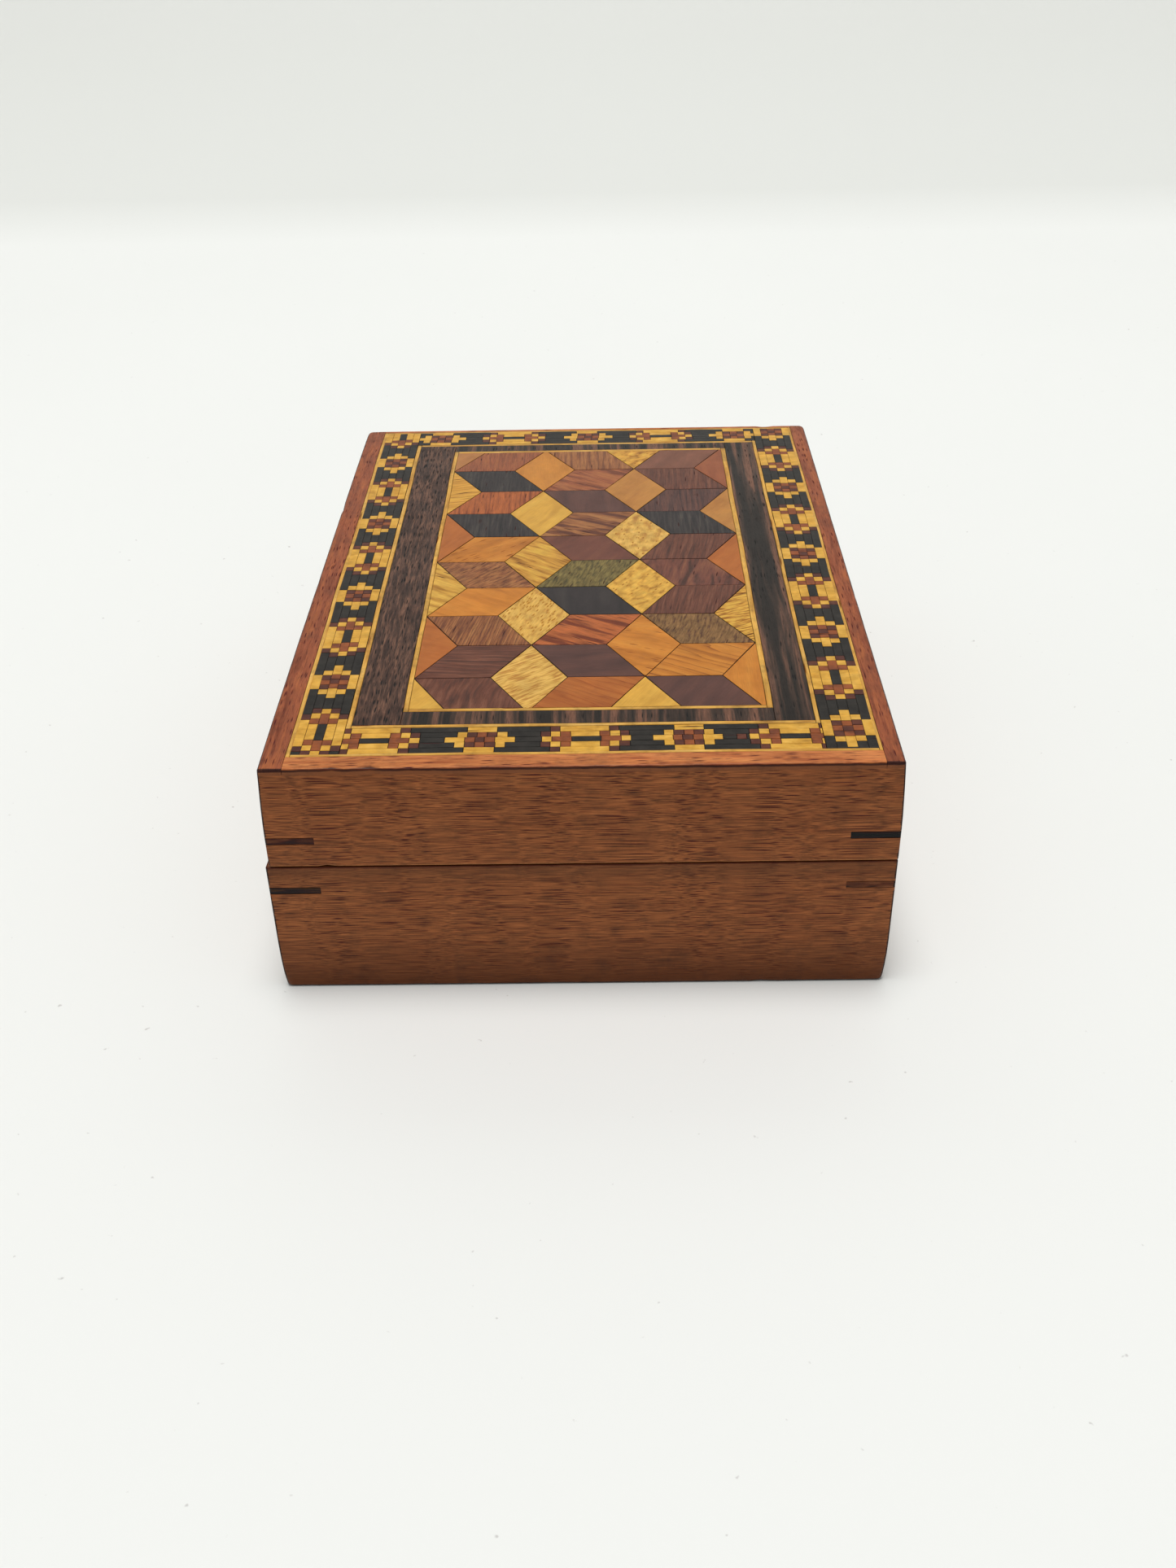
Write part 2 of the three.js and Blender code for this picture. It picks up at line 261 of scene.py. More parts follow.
def settle_veneer(point):
    """Hand-laid strips run a little out of true. Every piece of the top shares the same drift."""
    x, y, z = point
    free_x = min(1.0, max(0.0, (HALF_WIDTH - abs(x) - 0.6 * MM) / (2.5 * MM)))
    free_y = min(1.0, max(0.0, (HALF_LENGTH - abs(y) - 0.6 * MM) / (2.5 * MM)))
    flat = Vector((x, y, 0))
    x += (wobble(flat, LONG_WAVE, 3) * LONG_DRIFT + wobble(flat, SHORT_WAVE, 4) * SHORT_DRIFT) * free_x
    y += (wobble(flat, LONG_WAVE, 5) * LONG_DRIFT + wobble(flat, SHORT_WAVE, 6) * SHORT_DRIFT) * free_y
    raised = min(1.0, max(0.0, (z - GROUND_TOP) / (LID_TOP - GROUND_TOP)))
    z += (wobble(flat, 9 * MM, 7) * 0.018 - 0.045) * MM * raised
    return Vector((x, y, z))


def settle_lid_top(point):
    """The lid's top: the carcase's outline outside, the veneer's drift inside."""
    rest, arris, rim = settle_carcase(point, False)
    return rest + settle_veneer(point) - point, arris, rim


# ---- making pieces


def finish_piece(bm, name, body, materials, nodes=(), smooth_angle=35):
    """Turns a bmesh into a finished piece at the origin, riding on its body."""
    bmesh.ops.remove_doubles(bm, verts=bm.verts, dist=2e-7)
    bmesh.ops.recalc_face_normals(bm, faces=bm.faces)
    mesh = bpy.data.meshes.new(name)
    bm.to_mesh(mesh)
    bm.free()
    for material in materials:
        mesh.materials.append(material)
    mesh.polygons.foreach_set("use_smooth", [True] * len(mesh.polygons))
    mesh.set_sharp_from_angle(angle=math.radians(smooth_angle))
    piece = bpy.data.objects.new(name, mesh)
    bpy.context.scene.collection.objects.link(piece)
    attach(piece, body)
    if nodes:
        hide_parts(*nodes)
    return piece


def settle(bm, mover):
    """Moves every vertex where mover says, and keeps how near an arris and a rim it is."""
    arris = bm.verts.layers.float.new("arris")
    rim = bm.verts.layers.float.new("rim")
    for v in bm.verts:
        v.co, v[arris], v[rim] = mover(v.co.copy())


def cut_out(piece, cutters):
    """Cuts the shapes out of a piece and leaves the result in its mesh."""
    joined = bpy.data.meshes.new("cutter")
    whole = bmesh.new()
    for cutter in cutters:
        part = bpy.data.meshes.new("part")
        cutter.to_mesh(part)
        cutter.free()
        whole.from_mesh(part)
        bpy.data.meshes.remove(part)
    bmesh.ops.recalc_face_normals(whole, faces=whole.faces)
    whole.to_mesh(joined)
    whole.free()
    tool = bpy.data.objects.new("cutter", joined)
    bpy.context.scene.collection.objects.link(tool)
    cut = piece.modifiers.new("cut", "BOOLEAN")
    cut.operation = "DIFFERENCE"
    cut.solver = "EXACT"
    cut.object = tool
    graph = bpy.context.evaluated_depsgraph_get()
    result = bpy.data.meshes.new_from_object(piece.evaluated_get(graph), depsgraph=graph)
    if not result.polygons:
        raise ValueError(f"nothing is left of {piece.name}")
    piece.modifiers.clear()
    old = piece.data
    piece.data = result
    result.name = piece.name
    bpy.data.meshes.remove(old)
    bpy.data.objects.remove(tool)
    bpy.data.meshes.remove(joined)


# ---- colours

POLISH_HAZE = 0.03  # what the polish reflects on top of a wood's own colour
LIGHT_LEVEL = 1.07


def tone(red, green, blue):
    """A wood's own colour from how it looks, 0 to 255, in the light of this scene."""
    own = []
    for part in (red, green, blue):
        part /= 255
        linear = part / 12.92 if part <= 0.04045 else ((part + 0.055) / 1.055) ** 2.4
        own.append(max(0.004, (linear - POLISH_HAZE) / LIGHT_LEVEL))
    return (*own, 1.0)


# ---- node helpers


def add(tree, kind, values=None, **settings):
    """A node with its settings, and its inputs given as numbers or linked from other sockets."""
    made = tree.nodes.new(kind)
    for key, value in settings.items():
        setattr(made, key, value)
    for key, value in (values or {}).items():
        if isinstance(value, bpy.types.NodeSocket):
            tree.links.new(value, made.inputs[key])
        else:
            made.inputs[key].default_value = value
    return made


def maths(tree, operation, a, b=0.0, clamp=False):
    made = add(tree, "ShaderNodeMath", {0: a, 1: b}, operation=operation, use_clamp=clamp)
    return made.outputs[0]


def times(tree, a, b):
    return maths(tree, "MULTIPLY", a, b)


def plus(tree, a, b, clamp=False):
    return maths(tree, "ADD", a, b, clamp)


def less(tree, a, b, clamp=False):
    return maths(tree, "SUBTRACT", a, b, clamp)


def over(tree, a, b):
    return maths(tree, "DIVIDE", a, b)


def sway(tree, value, amount):
    """How far a value from 0 to 1 lies from its middle, times an amount."""
    return times(tree, less(tree, value, 0.5), amount)


def spread(tree, value, low, high, to_low=0.0, to_high=1.0):
    made = add(tree, "ShaderNodeMapRange", {0: value, 1: low, 2: high, 3: to_low, 4: to_high})
    return made.outputs[0]


def blend_colour(tree, share, a, b):
    return add(tree, "ShaderNodeMix", {0: share, 6: a, 7: b}, data_type="RGBA").outputs[2]


def scaled(tree, vector, x, y, z):
    """A vector with each part multiplied by a number or a socket."""
    sizes = add(tree, "ShaderNodeCombineXYZ", {0: x, 1: y, 2: z})
    made = add(tree, "ShaderNodeVectorMath", {0: vector, 1: sizes.outputs[0]}, operation="MULTIPLY")
    return made.outputs[0]


def in_mm(tree, vector):
    return scaled(tree, vector, 1000.0, 1000.0, 1000.0)


def cloud(tree, vector, scale=1.0, detail=2.0, roughness=0.5, distortion=0.0):
    values = {"Vector": vector, "Scale": scale, "Detail": detail, "Roughness": roughness}
    return add(tree, "ShaderNodeTexNoise", {**values, "Distortion": distortion}).outputs[0]


def effect(name, inputs, colours=(), numbers=()):
    """An empty node group. An input is a vector (None), a colour (four numbers) or a number."""
    tree = bpy.data.node_groups.new(name, "ShaderNodeTree")
    for label, value in inputs.items():
        kind = "Vector" if value is None else "Color" if isinstance(value, tuple) else "Float"
        made = tree.interface.new_socket(name=label, in_out="INPUT", socket_type=f"NodeSocket{kind}")
        if value is not None:
            made.default_value = value
    for kind, labels in (("Color", colours), ("Float", numbers)):
        for label in labels:
            tree.interface.new_socket(name=label, in_out="OUTPUT", socket_type=f"NodeSocket{kind}")
    given = tree.nodes.new("NodeGroupInput")
    result = tree.nodes.new("NodeGroupOutput")
    return tree, given.outputs, result.inputs


# ---- shared effects

# Timber: bands of colour along X, fine fibres, pores and a soft mottle. Sizes are in millimetres.
timber, t_in, t_out = effect(
    "timber",
    {
        "Vector": None, "Pale": (0.5, 0.3, 0.1, 1), "Mid": (0.3, 0.15, 0.06, 1), "Dark": (0.1, 0.05, 0.03, 1),
        "Pore Tone": (0.03, 0.015, 0.01, 1), "Band Width": 2.0, "Band Stretch": 12.0, "Banding": 1.0,
        "Wander": 0.5, "Fibre": 0.3, "Fibre Length": 2.0, "Pore Width": 0.16, "Pore Length": 2.0,
        "Pore Share": 0.2, "Dashes": 0.2, "Ring Spacing": 1.0, "Ringing": 0.0,
        "Mottle Size": 5.0, "Mottle": 0.2,
    },
    colours=["Colour"], numbers=["Pores", "Height"],
)
t_mm = in_mm(timber, t_in["Vector"])
t_split = add(timber, "ShaderNodeSeparateXYZ", {0: t_mm}).outputs
t_drift = cloud(timber, scaled(timber, t_mm, 0.11, 0.05, 0.05), 1.0, 2.0)
t_across = plus(timber, t_split[1], times(timber, sway(timber, t_drift, t_in["Wander"]), 3.0))
t_bent = add(timber, "ShaderNodeCombineXYZ", {0: t_split[0], 1: t_across, 2: t_split[2]}).outputs[0]
t_thin = over(timber, 1.0, t_in["Band Width"])
t_long = over(timber, t_thin, t_in["Band Stretch"])
t_band = cloud(timber, scaled(timber, t_bent, t_long, t_thin, t_thin), 1.0, 3.0, 0.55, 0.4)
t_fibre_long = over(timber, 1.0, t_in["Fibre Length"])
t_fine = cloud(timber, scaled(timber, t_bent, t_fibre_long, 7.0, 7.0), 1.0, 2.0, 0.6)
t_tone = plus(timber, 0.5, sway(timber, t_band, times(timber, t_in["Banding"], 4.0)), clamp=True)
t_high = less(timber, times(timber, t_tone, 2.0), 1.0, clamp=True)
t_low = less(timber, 1.0, times(timber, t_tone, 2.0), clamp=True)
t_colour = blend_colour(timber, t_high, t_in["Mid"], t_in["Pale"])
t_colour = blend_colour(timber, t_low, t_colour, t_in["Dark"])
t_uneven = times(timber, cloud(timber, scaled(timber, t_mm, 0.07, 0.5, 0.5), 1.0, 1.0), 2.5)
t_ring_place = plus(timber, over(timber, t_across, t_in["Ring Spacing"]), t_uneven)
t_ring = maths(timber, "POWER", maths(timber, "FRACT", t_ring_place), 6.0)
t_ring = times(timber, t_ring, times(timber, t_in["Ringing"], spread(timber, t_fine, 0.3, 0.6)))
t_colour = blend_colour(timber, t_ring, t_colour, t_in["Dark"])
t_fibre = plus(timber, 1.0, sway(timber, t_fine, times(timber, t_in["Fibre"], 2.5)))
t_spots = over(timber, 1.0, t_in["Mottle Size"])
t_mottle = cloud(timber, scaled(timber, t_mm, t_spots, t_spots, t_spots), 1.0, 2.0)
t_patch = plus(timber, 1.0, sway(timber, t_mottle, times(timber, t_in["Mottle"], 3.0)))
t_shade = add(
    timber, "ShaderNodeVectorMath", {0: t_colour, "Scale": times(timber, t_fibre, t_patch)}, operation="SCALE",
).outputs[0]
t_pore_thin = over(timber, 1.0, t_in["Pore Width"])
t_pore_long = over(timber, 1.0, t_in["Pore Length"])
t_cells = add(
    timber, "ShaderNodeTexVoronoi",
    {"Vector": scaled(timber, t_bent, t_pore_long, t_pore_thin, t_pore_thin), "Scale": 0.45},
)
t_chance = add(timber, "ShaderNodeSeparateColor", {0: t_cells.outputs["Color"]}).outputs[0]
t_open = maths(timber, "LESS_THAN", t_chance, t_in["Pore Share"])
t_dot = spread(timber, t_cells.outputs["Distance"], 0.42, 0.18)
t_dashes = cloud(timber, scaled(timber, t_bent, 0.6, 7.0, 7.0), 1.0, 2.0, 0.55)
t_dash = times(timber, spread(timber, t_dashes, 0.45, 0.32), t_in["Dashes"])
t_pores = plus(timber, times(timber, t_open, t_dot), t_dash, clamp=True)
timber.links.new(blend_colour(timber, t_pores, t_shade, t_in["Pore Tone"]), t_out["Colour"])
timber.links.new(t_pores, t_out["Pores"])
timber.links.new(less(timber, times(timber, t_fine, 0.35), t_pores), t_out["Height"])

# Old polish: patches worn duller, a faint ripple, and fine scratches both ways.
polish, p_in, p_out = effect(
    "old_polish",
    {"Vector": None, "Roughness": 0.35, "Patchiness": 0.12, "Scratches": 0.3},
    numbers=["Roughness", "Height"],
)
p_mm = in_mm(polish, p_in["Vector"])
p_patch = cloud(polish, p_mm, 0.16, 4.0, 0.6)
p_speck = cloud(polish, p_mm, 2.2, 3.0, 0.6)
p_line_a = cloud(polish, scaled(polish, p_mm, 0.12, 6.0, 1.0), 1.0, 1.0)
p_turned = add(
    polish, "ShaderNodeVectorRotate", {"Vector": p_mm, "Angle": math.radians(63)}, rotation_type="Z_AXIS",
).outputs[0]
p_line_b = cloud(polish, scaled(polish, p_turned, 0.1, 5.0, 1.0), 1.0, 1.0)
p_lines = plus(polish, spread(polish, p_line_a, 0.68, 0.74), spread(polish, p_line_b, 0.68, 0.74), clamp=True)
p_scratch = times(polish, p_lines, p_in["Scratches"])
p_vary = plus(polish, less(polish, p_patch, 0.5), sway(polish, p_speck, 0.5))
p_rough = plus(polish, p_in["Roughness"], times(polish, p_vary, times(polish, p_in["Patchiness"], 2.0)))
p_rough = plus(polish, p_rough, times(polish, p_scratch, 0.12), clamp=True)
p_height = less(polish, times(polish, p_speck, 0.25), times(polish, p_scratch, 0.5))
polish.links.new(p_rough, p_out["Roughness"])
polish.links.new(p_height, p_out["Height"])

# Dark dirt in patches, painted shade along the arrises where they turn from the light, and the rims of the saw
# cut in a tone of their own.
dirt_and_edge_shade, a_in, a_out = effect(
    "dirt_and_edge_shade",
    {
        "Vector": None, "Colour": (0.5, 0.5, 0.5, 1), "Arris": 0.0, "Arris Tone": (0.05, 0.02, 0.02, 1),
        "Arris Share": 0.7, "Arris Width": 0.35, "Rim": 0.0, "Rim Tone": (0.3, 0.2, 0.1, 1), "Rim Share": 0.0,
        "Dirt Tone": (0.03, 0.02, 0.015, 1), "Dirt": 0.3,
    },
    colours=["Colour"], numbers=["Worn"],
)
a_mm = in_mm(dirt_and_edge_shade, a_in["Vector"])
a_patch = cloud(dirt_and_edge_shade, a_mm, 0.35, 4.0, 0.65)
a_speck = cloud(dirt_and_edge_shade, a_mm, 1.3, 3.0, 0.6)
a_dirt = times(dirt_and_edge_shade, spread(dirt_and_edge_shade, a_patch, 0.5, 0.72), a_in["Dirt"])
a_uneven = sway(dirt_and_edge_shade, a_speck, 0.5)
a_from = less(dirt_and_edge_shade, 1.0, a_in["Arris Width"])
a_reach = less(dirt_and_edge_shade, plus(dirt_and_edge_shade, a_in["Arris"], a_uneven), a_from)
# Painted shade: the arris tone laid along each arris.
a_arris = times(dirt_and_edge_shade, spread(dirt_and_edge_shade, a_reach, 0.0, 0.2), a_in["Arris Share"])
a_rim = times(dirt_and_edge_shade, spread(dirt_and_edge_shade, plus(dirt_and_edge_shade, a_in["Rim"], a_uneven), 0.68, 0.88), a_in["Rim Share"])
a_colour = blend_colour(dirt_and_edge_shade, a_dirt, a_in["Colour"], a_in["Dirt Tone"])
a_colour = blend_colour(dirt_and_edge_shade, a_arris, a_colour, a_in["Arris Tone"])
a_colour = blend_colour(dirt_and_edge_shade, a_rim, a_colour, a_in["Rim Tone"])
dirt_and_edge_shade.links.new(a_colour, a_out["Colour"])
dirt_and_edge_shade.links.new(maths(dirt_and_edge_shade, "MAXIMUM", a_arris, a_rim), a_out["Worn"])

# Shading by height: a piece takes another tone little by little from one level to another.
level, l_in, l_out = effect(
    "height_zone",
    {
        "Vector": None, "Colour": (0.5, 0.5, 0.5, 1), "From": 0.0, "To": 1.0, "Tone": (0.2, 0.2, 0.2, 1),
        "Share": 1.0,
    },
    colours=["Colour"],
)
l_mm = in_mm(level, l_in["Vector"])
l_ragged = sway(level, cloud(level, l_mm, 0.5, 3.0), 0.25)
l_height = plus(level, add(level, "ShaderNodeSeparateXYZ", {0: l_mm}).outputs[2], l_ragged)
l_mask = spread(level, l_height, l_in["From"], l_in["To"], 0.0, l_in["Share"])
level.links.new(blend_colour(level, l_mask, l_in["Colour"], l_in["Tone"]), l_out["Colour"])


def use(tree, group, values):
    """Places a shared effect in a material with its own values."""
    made = add(tree, "ShaderNodeGroup", node_tree=group)
    for key, value in values.items():
        if isinstance(value, bpy.types.NodeSocket):
            tree.links.new(value, made.inputs[key])
        else:
            made.inputs[key].default_value = value
    return made.outputs


def new_material(name):
    """A material with its tree, its shader and the place on the object that its textures read."""
    material = bpy.data.materials.new(name)
    material.use_nodes = True
    tree = material.node_tree
    tree.nodes.clear()
    shader = tree.nodes.new("ShaderNodeBsdfPrincipled")
    surface = tree.nodes.new("ShaderNodeOutputMaterial")
    tree.links.new(shader.outputs[0], surface.inputs[0])
    return material, tree, shader, tree.nodes.new("ShaderNodeTexCoord").outputs["Object"]


def nearness(tree, kind):
    return add(tree, "ShaderNodeAttribute", attribute_name=kind).outputs["Fac"]


def bump(tree, shader, height, strength, depth=0.05):
    made = add(tree, "ShaderNodeBump", {"Height": height, "Strength": strength, "Distance": depth * MM})
    tree.links.new(made.outputs[0], shader.inputs["Normal"])


def polished_wood(name, figure, turn=0.0, shift=(0, 0, 0), roughness=0.36, patchiness=0.1,
                  arris=((44, 28, 24), 0.0, 0.35), rim=((190, 140, 95), 0.0), dirt=0.3,
                  grain_map=None, own_tones=False, relief=0.35, gloss=0.16, zones=()):
    """A finished wood: timber, dirt, painted shade along the arrises, rim tones and polish together. Turn and
    shift lay its grain along the piece.
    """
    material, tree, shader, place = new_material(name)
    along = place
    if grain_map:
        along = add(tree, "ShaderNodeUVMap", uv_map=grain_map).outputs[0]
    elif turn or any(shift):
        moves = {0: place, "Rotation": (0, 0, math.radians(turn)), "Location": shift}
        along = add(tree, "ShaderNodeMapping", moves).outputs[0]
    values = dict(figure)
    if own_tones:
        for label, key in TONE_KEYS.items():
            values[label] = add(tree, "ShaderNodeAttribute", attribute_name=key).outputs["Color"]
    wood = use(tree, timber, {"Vector": along, **values})
    colour = wood["Colour"]
    for low, high, zone_tone, share in zones:
        colour = use(tree, level, {
            "Vector": place, "Colour": colour, "From": low, "To": high,
            "Tone": tone(*zone_tone), "Share": share,
        })["Colour"]
    # Dirt, the painted shade along the arrises, and the rim tones.
    dirt_and_shade = use(tree, dirt_and_edge_shade, {
        "Vector": place, "Colour": colour, "Arris": nearness(tree, "arris"), "Rim": nearness(tree, "rim"),
        "Arris Tone": tone(*arris[0]), "Arris Share": arris[1], "Arris Width": arris[2],
        "Rim Tone": tone(*rim[0]), "Rim Share": rim[1], "Dirt": dirt, "Dirt Tone": tone(52, 38, 32),
    })
    finish = use(tree, polish, {"Vector": place, "Roughness": roughness, "Patchiness": patchiness})
    tree.links.new(dirt_and_shade["Colour"], shader.inputs["Base Color"])
    rough = plus(tree, finish["Roughness"], times(tree, wood["Pores"], 0.25))
    rough = plus(tree, rough, times(tree, dirt_and_shade["Worn"], 0.12), clamp=True)
    tree.links.new(rough, shader.inputs["Roughness"])
    bump(tree, shader, plus(tree, wood["Height"], times(tree, finish["Height"], 0.8)), relief)
    shader.inputs["IOR"].default_value = 1.5
    shader.inputs["Specular IOR Level"].default_value = gloss
    return material


# ---- the woods

TONE_KEYS = {"Pale": "wood_pale", "Mid": "wood_mid", "Dark": "wood_dark"}
FIGURE_PARTS = {
    "grain": ("Band Width", "Band Stretch", "Banding", "Wander", "Fibre", "Fibre Length"),
    "pores": ("Pore Share", "Pore Width", "Pore Length", "Dashes"),
    "rings": ("Ring Spacing", "Ringing"),
    "mottle": ("Mottle Size", "Mottle"),
}


def figure(*tones, pore_tone=None, **parts):
    """Inputs for the timber effect. Each part gives the values that FIGURE_PARTS names, in that order."""
    values = {label: tone(*colour) for label, colour in zip(TONE_KEYS, tones)}
    if pore_tone:
        values["Pore Tone"] = tone(*pore_tone)
    for part, given in parts.items():
        values.update(zip(FIGURE_PARTS[part], given))
    return values


WALL_FIGURE = figure(
    (174, 112, 74), (155, 98, 67), (130, 80, 58), pore_tone=(84, 50, 39),
    grain=(0.8, 18.0, 0.3, 0.3, 1.1, 5.0), pores=(0.55, 0.08, 4.0, 0.12), mottle=(11.0, 0.04),
)
# Painted shade: walls and keys darker along their arrises, where they turn from the light.
WALL_ARRIS = ((52, 32, 28), 0.9, 0.42)
FOOT_ZONES = ((9.0, 1.0, (108, 69, 51), 0.85), (15.5, 18.5, (118, 80, 60), 0.6))
wall_woods = {}
# The base's rim tone is painted shade along the saw cut; the lid's rim takes a lighter tone.
for part, rim_tone, zones in (("base", (84, 50, 38), FOOT_ZONES), ("lid", (196, 134, 88), ())):
    for way, turn, shift in (("across", -3, (0.0, 0.0, 0.0)), ("along", 91, (0.013, 0.021, 0.0))):
        wall_woods[part, way] = polished_wood(
            f"{part}_wall_wood_{way}", WALL_FIGURE, turn=turn, shift=shift, roughness=0.42,
            arris=WALL_ARRIS, rim=(rim_tone, 0.6), zones=zones,
        )


def key_wood(name, *tones):
    look = figure(
        *tones, pore_tone=(40, 30, 26), grain=(0.4, 12.0, 0.9), pores=(0.1, 0.16, 2.0, 0.4), mottle=(5.0, 0.3)
    )
    return polished_wood(name, look, roughness=0.45, arris=WALL_ARRIS)


brown_key = key_wood("brown_key_wood", (112, 74, 58), (86, 56, 46), (62, 44, 38))
dark_key = key_wood("dark_key_wood", (84, 64, 50), (64, 50, 40), (50, 40, 34))
black_key = key_wood("black_key_wood", (66, 44, 40), (52, 36, 34), (40, 30, 28))
faint_key = key_wood("faint_key_wood", (140, 90, 66), (120, 77, 58), (102, 64, 51))
BOARD_FIGURE = figure(
    (190, 142, 88), (168, 120, 72), (132, 90, 54), pore_tone=(98, 64, 42),
    grain=(3.5, 14.0, 0.7, 0.5, 0.3), pores=(0.25, 0.14, 1.4), mottle=(5.0, 0.15),
)
board_wood = polished_wood("board_wood", BOARD_FIGURE, turn=90, roughness=0.62, dirt=0.5)

CROSSBAND_FIGURE = figure(
    (174, 105, 70), (153, 91, 68), (124, 72, 56), pore_tone=(92, 46, 38),
    grain=(0.8, 12.0, 0.55, 0.2, 0.35), pores=(0.3, 0.12, 1.0, 0.45), mottle=(7.0, 0.2),
)
# Painted shade: the crossbands darker along their arrises, where they turn from the light; the front and back
# strips take a lighter, narrower shade.
CROSSBAND_ARRIS = ((62, 30, 27), 0.85, 0.36)
TOP_MM = LID_TOP / MM
VENEER_EDGE = (
    (TOP_MM - 0.09, TOP_MM - 0.2, (66, 32, 27), 0.92),
    (TOP_MM - 0.38, TOP_MM - 0.5, (150, 97, 69), 0.9),
)
crossband_along = polished_wood(
    "crossband_along", CROSSBAND_FIGURE, turn=90, arris=CROSSBAND_ARRIS, zones=VENEER_EDGE
)
crossband_across = polished_wood(
    "crossband_across", {**CROSSBAND_FIGURE, **figure((208, 136, 86), (197, 123, 78), (158, 90, 62))},
    arris=((120, 62, 44), 0.5, 0.2), zones=VENEER_EDGE,
)
STRINGING_FIGURE = figure(
    (226, 182, 106), (214, 164, 84), (184, 128, 66), pore_tone=(130, 82, 46),
    grain=(0.6, 14.0, 0.5, 0.1, 0.2), pores=(0.06, 0.16, 2.0, 0.15), mottle=(4.0, 0.25),
)
stringing_along = polished_wood("stringing_along", STRINGING_FIGURE, turn=90, dirt=0.4)
stringing_across = polished_wood("stringing_across", STRINGING_FIGURE, dirt=0.4)
DARK_FIGURE = figure(
    (122, 92, 78), (90, 71, 64), (68, 57, 54), pore_tone=(52, 45, 43),
    grain=(0.4, 9.0, 0.8, 0.2, 0.6), pores=(0.45, 0.13, 1.0, 0.7), mottle=(6.0, 0.2),
)
STREAKS = figure(
    (122, 90, 76), (82, 69, 63), (60, 56, 54), grain=(1.3, 30.0, 1.2), pores=(0.15, 0.13, 1.0, 0.4)
)
pored_dark_wood = polished_wood("pored_dark_wood", DARK_FIGURE, turn=90, dirt=0.2)
streaked_dark_wood = polished_wood("streaked_dark_wood", {**DARK_FIGURE, **STREAKS}, turn=90, dirt=0.1)


def stick_wood(name, *tones, dirt=0.2):
    look = figure(
        *tones, pore_tone=(70, 50, 40),
        grain=(1.3, 1.5, 0.4, 0.1, 0.2), pores=(0.02, 0.16, 2.0, 0.05), mottle=(1.5, 0.15),
    )
    return polished_wood(name, look, dirt=dirt)


stick_black = stick_wood("stick_black", (70, 66, 64), (62, 60, 58), (54, 52, 52), dirt=0.1)
stick_yellow = stick_wood("stick_yellow", (232, 184, 96), (218, 167, 78), (190, 136, 62))
stick_red = stick_wood("stick_red", (170, 100, 64), (142, 86, 62), (108, 70, 60))
stick_brown = stick_wood("stick_brown", (118, 76, 62), (98, 66, 60), (80, 60, 56))


def glue_material():
    material, tree, shader, place = new_material("old_glue")
    patch = cloud(tree, in_mm(tree, place), 0.8, 3.0)
    shade = spread(tree, patch, 0.3, 0.7, 0.75, 1.25)
    made = add(tree, "ShaderNodeVectorMath", {0: tone(46, 34, 29)[:3], "Scale": shade}, operation="SCALE")
    tree.links.new(made.outputs[0], shader.inputs["Base Color"])
    tree.links.new(spread(tree, patch, 0.3, 0.7, 0.7, 0.9), shader.inputs["Roughness"])
    shader.inputs["Specular IOR Level"].default_value = 0.1
    bump(tree, shader, patch, 0.3)
    return material


glue = glue_material()

# ---- walls and keys


def wall(part, side):
    node = f"{part}_wall_{side}"
    low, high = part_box(node)
    outward, along = DIRECTIONS[side]
    on_base = part == "base"
    half = FACE["left" if side in ENDS else "front"]
    bm = block(low, high)
    for way in (-1, 1):
        saw_off(bm, outward * FACE[side] + along * half * way, along * way - outward)
    fine = (0.1, 0.25, 0.45, 0.7, 1.0, 1.4, 2.0)
    score_lines(bm, along, steps(-half, half, 1.2 * MM) + near_ends(-half, half, fine))
    foot = (0.12, 0.3, 0.55, 0.85, 1.15, 1.6, 2.4) if on_base else (0.06, 0.14, 0.25, 0.6)
    top = (0.06, 0.14, 0.25, 0.6)
    score_lines(bm, UP, [low.z + o * MM for o in foot] + [high.z - o * MM for o in top])
    score_lines(bm, UP, steps(low.z + 2.4 * MM, high.z - 0.6 * MM, 2.0 * MM))
    score_lines(bm, outward, [FACE[side] - o * MM for o in (0.06, 0.14, 0.3, 0.6, 1.1)])
    settle(bm, lambda point: settle_carcase(point, on_base))
    material = wall_woods[part, "across" if side in ENDS else "along"]
    return finish_piece(bm, f"{part}_{side}_board", part, [material], [node])


walls = {(part, side): wall(part, side) for part in ("base", "lid") for side in DIRECTIONS}
cuts = {place: [] for place in walls}


def key_blank(corner, low_z, high_z, legs, proud=0.0):
    """A triangular slip across the outside of a mitre. Proud makes it stand out beyond the faces."""
    across, end = corner
    corner_x, corner_y = across * (HALF_WIDTH + proud), end * (HALF_LENGTH + proud)
    legs += 2 * proud
    xs = sorted((corner_x, corner_x - across * legs))
    ys = sorted((corner_y, corner_y - end * legs))
    bm = block(Vector((xs[0], ys[0], low_z)), Vector((xs[1], ys[1], high_z)))
    saw_off(bm, Vector((corner_x - across * legs, corner_y, 0)), Vector((-across, -end, 0)))
    return bm


